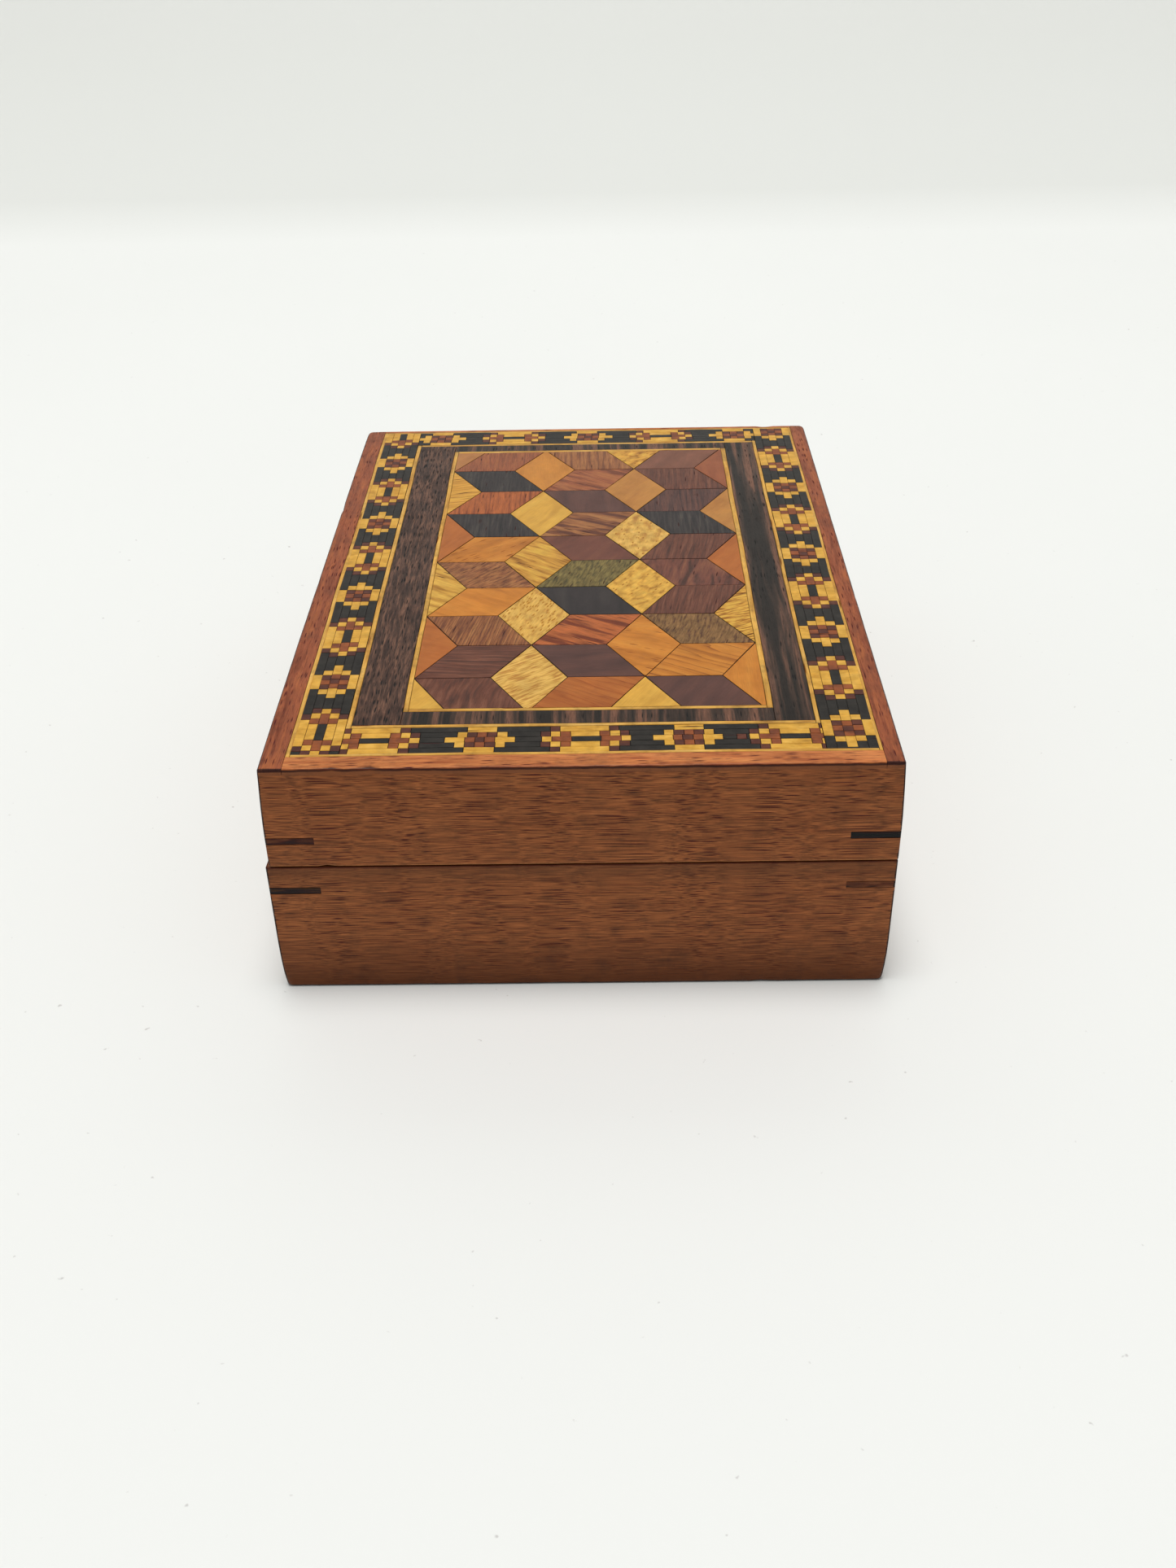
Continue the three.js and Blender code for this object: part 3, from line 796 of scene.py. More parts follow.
KEY_WOODS = {
    ("base", "front", "left"): dark_key,
    ("lid", "front", "right"): black_key,
    ("base", "front", "right"): faint_key,
    ("lid", "back", "left"): dark_key,
    ("base", "back", "right"): black_key,
}
KEY_GAP = 0.04 * MM
key_number = 0
for part in ("base", "lid"):
    for end_name, end in (("front", -1), ("back", 1)):
        for side_name, across in (("left", -1), ("right", 1)):
            node = f"{part}_key_{end_name}_{side_name}"
            low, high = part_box(node)
            key_number += 1
            on_base = part == "base"
            bm = key_blank((across, end), low.z, high.z, high.x - low.x)
            offsets = (0.1, 0.25, 0.45, 0.7, 1.0, 1.5, 2.2, 3.0, 3.8, 4.5, 5.1, 5.6)
            score_lines(bm, Vector((across, 0, 0)), [HALF_WIDTH - o * MM for o in offsets])
            score_lines(bm, Vector((0, end, 0)), [HALF_LENGTH - o * MM for o in offsets])
            middle = (low.z + high.z) / 2
            score_lines(bm, UP, [middle])

            def key_shape(point, middle=middle, on_base=on_base, seed=key_number):
                rest, arris, rim = settle_carcase(point, on_base)
                ragged = 1 - 0.10 * (1 + wobble(point, 2.5 * MM, 20 + seed))
                rest.z = middle + (rest.z - middle) * ragged
                return rest, arris, rim

            settle(bm, key_shape)
            wood = KEY_WOODS.get((part, end_name, side_name), brown_key)
            finish_piece(bm, f"{part}_{end_name}_{side_name}_spline", part, [wood], [node])
            for side in (end_name, side_name):
                kerf = key_blank(
                    (across, end), low.z - KEY_GAP, high.z + KEY_GAP, high.x - low.x + KEY_GAP, 1 * MM
                )
                cuts[part, side].append(kerf)

MORTISE_ROOM = 0.1 * MM
MORTISE_DEPTH = 0.62 * MM
PAST_FACE = 1 * MM  # cutters stand this far out of the faces that they cut
for part in ("base", "lid"):
    for end_name in ("front", "back"):
        low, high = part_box(f"hinge_{end_name}_{part}_leaf")
        rim = BASE_RIM if part == "base" else LID_RIM
        low, high = low.copy(), high.copy()
        low.y -= MORTISE_ROOM
        high.y += MORTISE_ROOM
        high.x += MORTISE_ROOM
        low.x = -HALF_WIDTH - PAST_FACE
        if part == "base":
            low.z, high.z = rim - MORTISE_DEPTH, rim + PAST_FACE
        else:
            low.z, high.z = rim - PAST_FACE, rim + MORTISE_DEPTH
        cuts[part, "left"].append(block(low, high))
for place, cutters in cuts.items():
    cut_out(walls[place], cutters)

# ---- strips of the top

CROWN = 0.04 * MM  # softened arrises of each strip
JOINT = 0.03 * MM  # half the glue line between neighbouring strips
TOP_ARRIS = 0.03 * MM  # softened arrises of each tile and stick
BED_DEPTH = 0.05 * MM  # how far the glue lies below the faces of tiles and sticks
STRIP_END_FINE = (0.15, 0.4)
OUTER_FINE = (0.06, 0.14, 0.25, 0.4, 0.55, 0.75)


def strip(kind, side, material, rise=0.0):
    """One straight strip of veneer, with its outer edge eased where it meets the side of the box."""
    node = f"{kind}_{side}"
    low, high = (corner.copy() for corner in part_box(node))
    outer_cuts = []
    for axis, half, direction in ((0, HALF_WIDTH, RIGHTWARD), (1, HALF_LENGTH, BACKWARD)):
        if low[axis] <= -half + 1e-6:
            outer_cuts.append((direction, [low[axis] + o * MM for o in OUTER_FINE]))
        else:
            low[axis] += JOINT
        if high[axis] >= half - 1e-6:
            outer_cuts.append((direction, [high[axis] - o * MM for o in OUTER_FINE]))
        else:
            high[axis] -= JOINT
    high.z += rise
    bm = block(low, high)
    if not outer_cuts:
        ease(bm, [e for e in bm.edges if all(v.co.z > high.z - 1e-6 for v in e.verts)], CROWN)
    along = RIGHTWARD if high.x - low.x > high.y - low.y else BACKWARD
    start, end = low.dot(along), high.dot(along)
    score_lines(bm, along, steps(start, end, 1.5 * MM) + near_ends(start, end, STRIP_END_FINE))
    if outer_cuts:
        for direction, places in outer_cuts:
            score_lines(bm, direction, places)
        score_lines(bm, UP, [high.z - o * MM for o in OUTER_FINE])
    settle(bm, settle_lid_top)
    return finish_piece(bm, f"{side}_{kind}", "lid", [material], [node])


chance = random.Random(11)
for side in DIRECTIONS:
    lengthwise = side not in ENDS
    strip("crossband", side, crossband_along if lengthwise else crossband_across)
    dark_wood = pored_dark_wood if side == "left" else streaked_dark_wood
    strip("dark_band", side, dark_wood, chance.uniform(-0.02, 0.02) * MM)
    for kind in ("outer_stringing", "inner_stringing", "panel_stringing"):
        lines = stringing_along if lengthwise else stringing_across
        strip(kind, side, lines, chance.uniform(-0.02, 0.02) * MM)

# ---- mosaic bands

STICK = 1.19 * MM  # length of one stick's end along a band
# Woods of the sticks: . and K black, Y yellow, B red, b brown
ROUND_MOTIF = ["..YYY..", ".YbBbY.", "YYBbBYY", ".YbBbY.", "..YYY.."]
LONG_MOTIF = [".bYYYYYb.", "bYBYYYBYb", "YBBKKKBBY", "bYBYYYBYb", ".bYYYYYb."]
DASH_MOTIF = [".", ".", "b", ".", "."]
MOTIFS = {"round": ROUND_MOTIF, "long": LONG_MOTIF, "dash": DASH_MOTIF}
# The first motif of each band, how many there are, and how far off the band's middle they sit, in mm
MOTIF_RUNS = {
    "left": ("long", 9, 1.9), "right": ("round", 9, 1.5), "front": ("long", 5, 0.3), "back": ("round", 5, 0.2),
}
STEP_ALONG, STEP_ACROSS = 12.0, 12.45  # from one motif to the next along the box and across it
STICK_WOODS = {".": 0, "K": 0, "Y": 1, "B": 2, "b": 3}
ROWS = 5
STICK_GAP = 0.035 * MM
ROW_GAP = 0.6 * STICK_GAP
STICK_STAGGER = 0.16 * MM


def motif_middles(side):
    """Round and long motifs in turn, evenly spaced, and one odd stick late in the front band."""
    kind, count, shift = MOTIF_RUNS[side]
    step = STEP_ACROSS if side in ENDS else STEP_ALONG
    middles = []
    for number in range(count):
        middles.append((kind, shift + step * (number - (count - 1) / 2)))
        kind = "round" if kind == "long" else "long"
    if side == "front":
        middles.insert(4, ("dash", (middles[3][1] + middles[4][1]) / 2))
    return middles


def mosaic_band(side):
    """Five rows of sticks, each run of one wood a piece of its own, on a dark bed."""
    node = f"mosaic_band_{side}"
    low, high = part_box(node)
    lengthwise = side not in ENDS
    start, end = (low.y, high.y) if lengthwise else (low.x, high.x)
    edge, far_edge = (low.x, high.x) if lengthwise else (low.y, high.y)
    row_width = (far_edge - edge - 2 * JOINT) / ROWS
    draw = random.Random(f"sticks {side}")
    whole = bmesh.new()

    def place(along_low, along_high, across_low, across_high, z_low, z_high, wood):
        if lengthwise:
            a, b = Vector((across_low, along_low, z_low)), Vector((across_high, along_high, z_high))
        else:
            a, b = Vector((along_low, across_low, z_low)), Vector((along_high, across_high, z_high))
        spot = Matrix.Translation((a + b) / 2) @ Matrix.Diagonal((*(b - a), 1))
        made = bmesh.ops.create_cube(whole, size=1.0, matrix=spot)
        for face in {f for v in made["verts"] for f in v.link_faces}:
            face.material_index = wood

    for row in range(ROWS):
        runs = []
        for kind, centre in motif_middles(side):
            pattern = MOTIFS[kind][row]
            slide = draw.uniform(-1, 1) * STICK_STAGGER
            first = (start + end) / 2 + centre * MM - len(pattern) * STICK / 2 + slide
            for i, letter in enumerate(pattern):
                if letter == ".":
                    continue
                at = first + i * STICK
                jitter = draw.uniform(-1, 1) * 0.05 * MM
                if runs and runs[-1][2] == letter and abs(runs[-1][1] - at) < 0.2 * MM:
                    runs[-1][1] = at + STICK + jitter
                else:
                    if runs and abs(runs[-1][1] - at) < 0.2 * MM:
                        at = runs[-1][1]
                    runs.append([at, first + (i + 1) * STICK + jitter, letter])
        filled = []
        here = start
        for a, b, letter in runs:
            a, b = max(a, start), min(b, end)
            if b - a < 0.1 * MM:
                continue
            if a - here > 0.12 * MM:
                filled.append((here, a, "."))
            else:
                a = here
            filled.append((a, b, letter))
            here = b
        if end - here > 0.12 * MM:
            filled.append((here, end, "."))
        across_low = edge + JOINT + row * row_width
        for a, b, letter in filled:
            rise = draw.uniform(-0.015, 0.01) * MM
            place(
                a + STICK_GAP, b - STICK_GAP, across_low + ROW_GAP, across_low + row_width - ROW_GAP,
                high.z - 0.5 * MM, high.z + rise, STICK_WOODS[letter],
            )
    top = [e for e in whole.edges if all(v.co.z > high.z - 0.1 * MM for v in e.verts)]
    ease(whole, top, TOP_ARRIS)
    place(start + JOINT, end - JOINT, edge + JOINT, far_edge - JOINT, low.z, high.z - BED_DEPTH, 4)
    for v in whole.verts:
        v.co = settle_veneer(v.co)
    woods = [stick_black, stick_yellow, stick_red, stick_brown, glue]
    return finish_piece(whole, f"{side}_mosaic_sticks", "lid", woods, [node])


for side in DIRECTIONS:
    mosaic_band(side)

# ---- cube work

PANEL_LOW, PANEL_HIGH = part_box("cube_panel")
TILE = (PANEL_HIGH.x - PANEL_LOW.x) / 4.5  # side of a tile
TILE_ROW = TILE * math.sqrt(3) / 2
FIRST_TIP = 43.25 * MM  # the lattice starts a little beyond the panel's far edge
TILE_GAP = 0.06 * MM
TILE_THICKNESS = 0.6 * MM

# pale, mid and dark tone of each wood
WOODS = {
    "boxwood": ((225, 180, 90), (215, 165, 80), (170, 120, 60)),
    "satinwood": ((225, 180, 85), (210, 155, 75), (150, 100, 50)),
    "holly": ((230, 185, 105), (215, 170, 90), (185, 130, 70)),
    "fustic": ((215, 150, 75), (200, 135, 70), (165, 105, 55)),
    "pear": ((190, 140, 85), (180, 125, 80), (150, 100, 65)),
    "cherry": ((195, 125, 70), (180, 110, 65), (150, 85, 55)),
    "maple": ((215, 150, 75), (200, 130, 65), (140, 85, 50)),
    "yew": ((200, 145, 80), (185, 130, 75), (150, 95, 60)),
    "padauk": ((190, 110, 70), (170, 100, 65), (125, 70, 55)),
    "mahogany": ((170, 110, 75), (155, 95, 70), (120, 75, 60)),
    "walnut": ((170, 120, 80), (150, 100, 70), (105, 70, 60)),
    "kingwood": ((140, 95, 75), (120, 80, 70), (85, 65, 60)),
    "rosewood": ((120, 85, 75), (100, 75, 70), (70, 60, 60)),
    "plum": ((130, 90, 75), (110, 75, 65), (85, 65, 60)),
    "ebony": ((85, 80, 75), (70, 65, 65), (55, 55, 55)),
    "green_oak": ((140, 125, 80), (120, 105, 70), (85, 80, 60)),
    "olive": ((150, 115, 80), (130, 100, 70), (95, 70, 60)),
    "purpleheart": ((150, 100, 85), (130, 90, 75), (100, 70, 65)),
}
FIGURES = {
    "plain": figure(grain=(2.4, 5.0, 0.25, 0.3, 0.14), pores=(0.0, 0.16, 2.0, 0.06), mottle=(3.0, 0.12)),
    "fibrous": figure(grain=(0.45, 18.0, 0.6, 0.1, 0.4), pores=(0.05, 0.12, 1.2, 0.25), mottle=(4.0, 0.15)),
    "lined": figure(
        grain=(1.6, 10.0, 0.35, 0.25, 0.2), pores=(0.03, 0.16, 2.0, 0.12), rings=(1.4, 1.3), mottle=(4.0, 0.12)
    ),
    "striped": figure(
        grain=(0.5, 16.0, 0.6, 0.12, 0.4), pores=(0.1, 0.12, 1.5, 0.5), rings=(0.45, 2.0), mottle=(5.0, 0.1)
    ),
    "veined": figure(grain=(1.3, 8.0, 1.5, 0.3, 0.4), pores=(0.1, 0.12, 1.2, 0.3), mottle=(3.0, 0.15)),
    "streaked": figure(grain=(1.0, 6.0, 0.75, 0.3, 0.25), pores=(0.05, 0.14, 1.0, 0.2), mottle=(3.0, 0.15)),
    "speckled": figure(
        grain=(0.7, 2.5, 0.5, 0.3, 0.3), pores=(0.85, 0.16, 0.55, 0.05), mottle=(2.0, 0.15),
        pore_tone=(176, 122, 60),
    ),
    "flecked": figure(
        grain=(2.2, 5.0, 0.3, 0.3, 0.18), pores=(0.2, 0.12, 0.9, 0.1), mottle=(3.0, 0.15),
        pore_tone=(140, 82, 48),
    ),
    "mottled": figure(
        grain=(1.0, 1.8, 0.6, 0.5, 0.2), pores=(0.12, 0.16, 0.4, 0.1), mottle=(1.4, 0.3),
        pore_tone=(168, 112, 60),
    ),
    "rippled": figure(grain=(0.32, 7.0, 1.1, 0.5, 0.15), pores=(0.02, 0.16, 2.0, 0.05), mottle=(3.0, 0.15)),
    "bristled": figure(grain=(0.35, 5.0, 0.75, 0.5, 0.4), pores=(0.1, 0.12, 0.8, 0.4), mottle=(1.8, 0.3)),
}
tile_materials = {
    name: polished_wood(
        f"tile_{name}", {"Pore Tone": tone(72, 48, 38), **look}, grain_map="grain", own_tones=True,
        dirt=0.1, roughness=0.33,
    )
    for name, look in FIGURES.items()
}

# Far to near: wood, figure, and the turn of the grain from the box's short side, in degrees
UPRIGHT_TILES = [
    [("pear", "plain", 60), ("satinwood", "lined", 15), ("cherry", "plain", 60),
     ("boxwood", "streaked", -30), ("cherry", "plain", -20), ("boxwood", "plain", 60)],
    [("fustic", "plain", 90), ("boxwood", "plain", 60), ("satinwood", "streaked", -37),
     ("holly", "speckled", 70), ("holly", "rippled", 35)],
    [("satinwood", "mottled", 45), ("yew", "plain", 60), ("holly", "mottled", 80),
     ("boxwood", "mottled", 60), ("maple", "flecked", -20), ("boxwood", "plain", 60)],
    [("mahogany", "plain", 90), ("yew", "plain", 60), ("cherry", "plain", 60),
     ("satinwood", "rippled", 20), ("maple", "plain", 90)],
]
SLANTING_TILES = [
    [("mahogany", "fibrous", 90), ("ebony", "fibrous", 90), ("padauk", "fibrous", 90),
     ("ebony", "fibrous", 90), ("maple", "flecked", 40), ("walnut", "bristled", 45),
     ("maple", "plain", -35), ("walnut", "striped", 80), ("plum", "fibrous", -4), ("plum", "streaked", 80)],
    [("walnut", "fibrous", 90), ("mahogany", "veined", -35), ("rosewood", "plain", 90),
     ("walnut", "veined", -25), ("kingwood", "plain", 60), ("green_oak", "bristled", 75),
     ("ebony", "plain", 90), ("padauk", "veined", -30), ("rosewood", "plain", 5), ("cherry", "lined", -32)],
    [("purpleheart", "plain", 70), ("plum", "fibrous", 88), ("rosewood", "fibrous", 90),
     ("ebony", "fibrous", 90), ("plum", "fibrous", 80), ("kingwood", "streaked", 80),
     ("plum", "fibrous", 80), ("olive", "bristled", 75), ("maple", "lined", -30), ("rosewood", "plain", 60)],
]


def tile(name, outline, wood, look, turn):
    """One tile of cube work, cut to its outline and to the edges of the panel."""
    bm = bmesh.new()
    corners = [bm.verts.new((x, y, PANEL_HIGH.z - TILE_THICKNESS)) for x, y in outline]
    face = bm.faces.new(corners)
    face.normal_update()
    bmesh.ops.inset_region(bm, faces=[face], thickness=TILE_GAP, use_even_offset=True, use_boundary=True)
    rim = [f for f in bm.faces if f is not face]
    bmesh.ops.delete(bm, geom=rim, context="FACES")
    raised = bmesh.ops.extrude_face_region(bm, geom=[face])
    tops = [v for v in raised["geom"] if isinstance(v, bmesh.types.BMVert)]
    draw = random.Random(name)
    bmesh.ops.translate(bm, vec=(0, 0, TILE_THICKNESS + draw.uniform(-0.02, 0.015) * MM), verts=tops)
    inner_low = PANEL_LOW + Vector((JOINT, JOINT, 0))
    inner_high = PANEL_HIGH - Vector((JOINT, JOINT, 0))
    for corner, way in ((inner_low, -1), (inner_high, 1)):
        saw_off(bm, corner, RIGHTWARD * way)
        saw_off(bm, corner, BACKWARD * way)
    bmesh.ops.recalc_face_normals(bm, faces=bm.faces)
    top = [e for e in bm.edges if all(v.co.z > PANEL_HIGH.z - 0.1 * MM for v in e.verts)]
    ease(bm, top, TOP_ARRIS)
    low = Vector([min(v.co[axis] for v in bm.verts) for axis in range(3)])
    high = Vector([max(v.co[axis] for v in bm.verts) for axis in range(3)])
    score_grid(bm, low, high, 2.2 * MM)
    middle = sum((v.co for v in bm.verts), Vector()) / len(bm.verts)
    bmesh.ops.rotate(
        bm, verts=bm.verts, cent=middle,
        matrix=Matrix.Rotation(math.radians(draw.uniform(-0.25, 0.25)), 3, "Z"),
    )
    settle(bm, lambda point: (settle_veneer(point), 0.0, 0.0))
    piece = finish_piece(bm, name, "lid", [tile_materials[look]])
    mesh = piece.data
    grain = mesh.uv_layers.new(name="grain")
    turned = Matrix.Rotation(math.radians(-turn), 2)
    shift = Vector((draw.uniform(0, 0.4), draw.uniform(0, 0.4)))
    for loop in mesh.loops:
        spot = mesh.vertices[loop.vertex_index].co
        grain.data[loop.index].uv = turned @ Vector((spot.x, spot.y)) + shift
    lift = 1 + draw.uniform(-0.05, 0.05)
    for key, colour in zip(TONE_KEYS.values(), WOODS[wood]):
        layer = mesh.color_attributes.new(name=key, type="FLOAT_COLOR", domain="POINT")
        own = [c * lift for c in tone(*colour)[:3]] + [1.0]
        layer.data.foreach_set("color", own * len(mesh.vertices))
    return piece


for column, woods in enumerate(UPRIGHT_TILES):
    middle = PANEL_LOW.x + 1.5 * TILE * column
    first = FIRST_TIP + (0 if column % 2 else TILE_ROW)
    for number, (wood, look, turn) in enumerate(woods):
        tip = first - 2 * TILE_ROW * number
        outline = [
            (middle, tip), (middle - TILE / 2, tip - TILE_ROW), (middle, tip - 2 * TILE_ROW),
            (middle + TILE / 2, tip - TILE_ROW),
        ]
        tile(f"upright_tile_{column + 1}_{number + 1}", outline, wood, look, turn)
for gap, woods in enumerate(SLANTING_TILES):
    middle = PANEL_LOW.x + 1.5 * TILE * gap
    for row, (wood, look, turn) in enumerate(woods):
        top = FIRST_TIP - TILE_ROW * row
        leans_left = (gap + row) % 2 == 0
        near, far = (0, TILE / 2) if leans_left else (TILE / 2, 0)
        outline = [
            (middle + far, top), (middle + near, top - TILE_ROW), (middle + near + TILE, top - TILE_ROW),
            (middle + far + TILE, top),
        ]
        tile(f"slanting_tile_{gap + 1}_{row + 1}", outline, wood, look, turn)

bed_low = PANEL_LOW + Vector((JOINT, JOINT, 0))
bed_high = PANEL_HIGH - Vector((JOINT, JOINT, BED_DEPTH))
bed = block(bed_low, bed_high)
score_grid(bed, bed_low, bed_high, 2 * MM)
settle(bed, lambda point: (settle_veneer(point), 0.0, 0.0))
finish_piece(bed, "cube_work_bed", "lid", [glue], ["cube_panel"])

# ---- inside: boards and linings

BOARD_ARRIS = 0.25 * MM


def inner_board(name, body, node):
    """A plain board let in between the walls, a little out of flat."""
    low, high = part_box(node)
    bm = block(low, high)
    ease(bm, bm.edges[:], BOARD_ARRIS, segments=2)
    score_grid(bm, low, high, 3 * MM)

    def shape(point):
        hollow = 0.02 * (1 + wobble(point, 14 * MM, 50)) * MM
        rest = point.copy()
        rest.z += hollow if point.z < (low.z + high.z) / 2 else -hollow
        return rest, 0.0, 0.0

    settle(bm, shape)
    return finish_piece(bm, name, body, [board_wood], [node])


inner_board("base_floor_board", "base", "bottom_board")
inner_board("lid_ceiling_board", "lid", "lid_board")


def cloth_material():
    material, tree, shader, place = new_material("lining_cloth")
    mm = in_mm(tree, place)
    nap = cloud(tree, mm, 3.5, 4.0, 0.65)
    patch = cloud(tree, mm, 0.12, 3.0)
    worn = spread(tree, patch, 0.45, 0.7)
    colour = blend_colour(tree, nap, tone(92, 30, 34), tone(132, 48, 48))
    colour = blend_colour(tree, times(tree, worn, 0.16), colour, tone(150, 84, 70))
    tree.links.new(colour, shader.inputs["Base Color"])
    tree.links.new(spread(tree, nap, 0.3, 0.7, 0.82, 0.98), shader.inputs["Roughness"])
    bump(tree, shader, nap, 0.8, 0.15)
    shader.inputs["Sheen Weight"].default_value = 0.35
    return material


lining_cloth = cloth_material()


def lining(name, body, node, hangs):
    """A sheet of cloth, laid on its board or glued up under it, with a soft free face."""
    low, high = (corner.copy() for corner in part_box(node))
    bm = block(low, high)
    edges = [e for e in bm.edges if abs(e.verts[0].co.z - e.verts[1].co.z) > 0.1 * MM]
    ease(bm, edges, 1.0 * MM, segments=3)
    free_z = low.z if hangs else high.z
    ease(bm, [e for e in bm.edges if all(abs(v.co.z - free_z) < 1e-6 for v in e.verts)], 0.25 * MM, segments=3)
    score_grid(bm, low, high, 2.5 * MM)

    def shape(point):
        free_face = (point.z < high.z - 0.3 * MM) if hangs else (point.z > low.z + 0.3 * MM)
        rest = point.copy()
        if free_face:
            inward = 1 if hangs else -1
            rest.z += inward * (0.08 + 0.10 * wobble(point, 9 * MM, 40)) * MM
        return rest, 0.0, 0.0

    settle(bm, shape)
    piece = finish_piece(bm, name, body, [lining_cloth], [node])
    return piece


lining("base_floor_cloth", "base", "base_lining", False)
lining("lid_ceiling_cloth", "lid", "lid_lining", True)

# ---- hinges


def brass_material():
    material, tree, shader, place = new_material("aged_brass")
    mm = in_mm(tree, place)
    patch = cloud(tree, mm, 0.5, 4.0, 0.65)
    fine = cloud(tree, scaled(tree, mm, 8.0, 0.4, 8.0), 1.0, 2.0)
    dull = spread(tree, patch, 0.42, 0.68)
    colour = blend_colour(tree, dull, (0.60, 0.40, 0.15, 1), (0.22, 0.13, 0.05, 1))
    tree.links.new(colour, shader.inputs["Base Color"])
    tree.links.new(spread(tree, plus(tree, dull, fine), 0.2, 1.6, 0.28, 0.6), shader.inputs["Roughness"])
    shader.inputs["Metallic"].default_value = 1.0
    bump(tree, shader, plus(tree, fine, patch), 0.25, 0.03)
    return material


aged_brass = brass_material()
HINGE_ARRIS = 0.07 * MM
SLOT_WIDTH, SLOT_DEPTH = 0.32 * MM, 0.3 * MM


def eased_brass(node_name, name, body):
    """A turned or cut brass part with every sharp edge taken off."""
    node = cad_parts[node_name]
    bm = bmesh.new()
    bm.from_mesh(node.data)
    bmesh.ops.transform(bm, matrix=node.matrix_world, verts=bm.verts)
    bmesh.ops.remove_doubles(bm, verts=bm.verts, dist=1e-6)
    bmesh.ops.dissolve_limit(bm, angle_limit=math.radians(1), verts=bm.verts[:], edges=bm.edges[:])
    sharp = [e for e in bm.edges if e.is_manifold and e.calc_face_angle(0.0) > math.radians(30)]
    ease(bm, sharp, HINGE_ARRIS, segments=2, clamp_overlap=True)
    return finish_piece(bm, name, body, [aged_brass], [node_name])


for end_name in ("front", "back"):
    for part in ("base", "lid"):
        leaf_name = f"hinge_{end_name}_{part}_leaf"
        eased_brass(leaf_name, f"{end_name}_hinge_{part}_flap", part)
        for number in (1, 2):
            screw_name = f"hinge_{end_name}_{part}_screw_{number}"
            screw = eased_brass(screw_name, f"{end_name}_hinge_{part}_slotted_screw_{number}", part)
            low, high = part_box(screw_name)
            middle = (low + high) / 2
            reach = high.x - low.x
            face = high.z if part == "base" else low.z
            slot = block(
                Vector((-reach, -SLOT_WIDTH / 2, -SLOT_DEPTH)), Vector((reach, SLOT_WIDTH / 2, SLOT_DEPTH))
            )
            turned = Matrix.Rotation(chance.uniform(0, math.pi), 4, "Z")
            bmesh.ops.transform(
                slot, matrix=Matrix.Translation((middle.x, middle.y, face)) @ turned, verts=slot.verts
            )
            cut_out(screw, [slot])
for name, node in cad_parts.items():
    if name.startswith("hinge_") and name.endswith("_pin"):
        node.data.materials.clear()
        node.data.materials.append(aged_brass)

# ---- floor, light and camera


def stage_material():
    material, tree, shader, place = new_material("pale_floor")
    patch = cloud(tree, place, 6.0, 3.0)
    colour = blend_colour(tree, patch, (0.80, 0.81, 0.785, 1), (0.83, 0.84, 0.815, 1))
    grit = spread(tree, cloud(tree, place, 750.0, 2.0), 0.74, 0.80)
    colour = blend_colour(tree, grit, colour, (0.58, 0.57, 0.55, 1))
    # Painted shade: the floor darker from 0.31 m back, in place of the shade of a paper sweep's fold.
    beyond = add(tree, "ShaderNodeSeparateXYZ", {0: place}).outputs[1]
    colour = blend_colour(tree, spread(tree, beyond, 0.31, 0.37), colour, (0.72, 0.73, 0.70, 1))
    tree.links.new(colour, shader.inputs["Base Color"])
    tree.links.new(spread(tree, patch, 0.3, 0.7, 0.7, 0.8), shader.inputs["Roughness"])
    return material


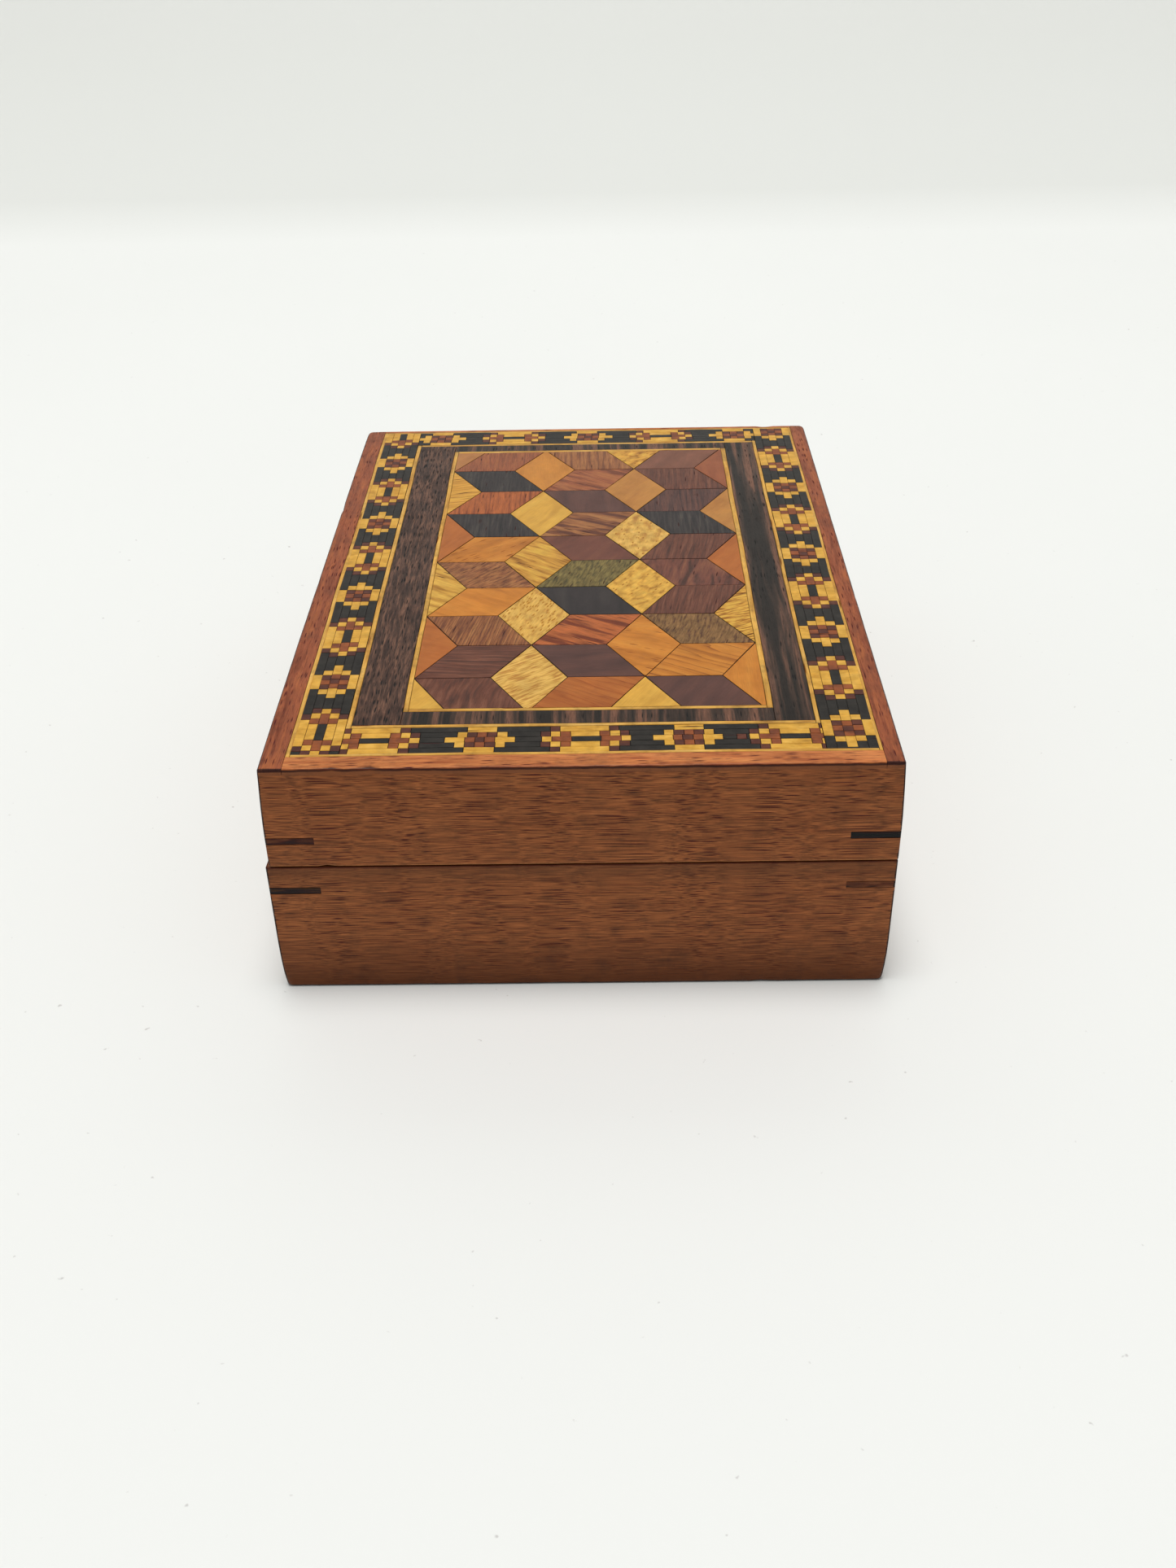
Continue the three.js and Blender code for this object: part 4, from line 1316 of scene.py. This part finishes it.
FLOOR_REACH = 2.5
SWEEP_START = 0.7
SWEEP_RADIUS = 0.30
bm = bmesh.new()
bmesh.ops.create_grid(bm, x_segments=40, y_segments=200, size=FLOOR_REACH)
for v in bm.verts:
    beyond = v.co.y - SWEEP_START
    if beyond > 0:
        angle = min(beyond / SWEEP_RADIUS, math.pi / 2)
        rest = max(0.0, beyond - SWEEP_RADIUS * math.pi / 2)
        v.co.y = SWEEP_START + SWEEP_RADIUS * math.sin(angle)
        v.co.z = SWEEP_RADIUS * (1 - math.cos(angle)) + rest
    v.co.z -= 0.02 * MM
floor_mesh = bpy.data.meshes.new("floor")
bm.to_mesh(floor_mesh)
bm.free()
floor_mesh.materials.append(stage_material())
floor_mesh.polygons.foreach_set("use_smooth", [True] * len(floor_mesh.polygons))
floor = bpy.data.objects.new("floor", floor_mesh)
bpy.context.scene.collection.objects.link(floor)
floor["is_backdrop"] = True

world = bpy.data.worlds.new("soft_room")
bpy.context.scene.world = world
world.use_nodes = True
world.node_tree.nodes["Background"].inputs[0].default_value = (1.0, 0.995, 0.985, 1)
world.node_tree.nodes["Background"].inputs[1].default_value = 0.31


LAMP_PLACE, LAMP_AIM = Vector((-0.06, -0.06, 2.5)), Vector((0, 0, 0.02))
lamp = bpy.data.lights.new("overhead_light", "AREA")
lamp.shape = "RECTANGLE"
lamp.size, lamp.size_y = 0.75, 0.95
lamp.energy = 48.0
overhead = bpy.data.objects.new("overhead_light", lamp)
overhead.location = LAMP_PLACE
overhead.rotation_euler = (LAMP_AIM - LAMP_PLACE).to_track_quat("-Z", "Y").to_euler()
bpy.context.scene.collection.objects.link(overhead)

CAMERA_PLACE = Vector((0.0032, -0.20125, 0.12978))
CAMERA_DOWN = math.radians(33.87)
CAMERA_LEFT = math.radians(0.90)
CAMERA_ROLL = math.radians(-1.19)
CAMERA_LENS = 35.25
camera = bpy.data.cameras.new("camera")
camera.lens = CAMERA_LENS
camera.sensor_width = 36
camera.clip_start = 0.005
camera.clip_end = 20
view_point = bpy.data.objects.new("camera", camera)
bpy.context.scene.collection.objects.link(view_point)
ahead = Vector((
    -math.sin(CAMERA_LEFT) * math.cos(CAMERA_DOWN),
    math.cos(CAMERA_LEFT) * math.cos(CAMERA_DOWN),
    -math.sin(CAMERA_DOWN),
))
level_right = ahead.cross(UP).normalized()
level_up = level_right.cross(ahead)
right = level_right * math.cos(CAMERA_ROLL) + level_up * math.sin(CAMERA_ROLL)
upward = right.cross(ahead)
turned = Matrix((right, upward, -ahead)).transposed().to_4x4()
view_point.matrix_world = Matrix.Translation(CAMERA_PLACE) @ turned
bpy.context.scene.camera = view_point
bpy.context.scene.view_settings.view_transform = "Standard"

low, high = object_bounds()
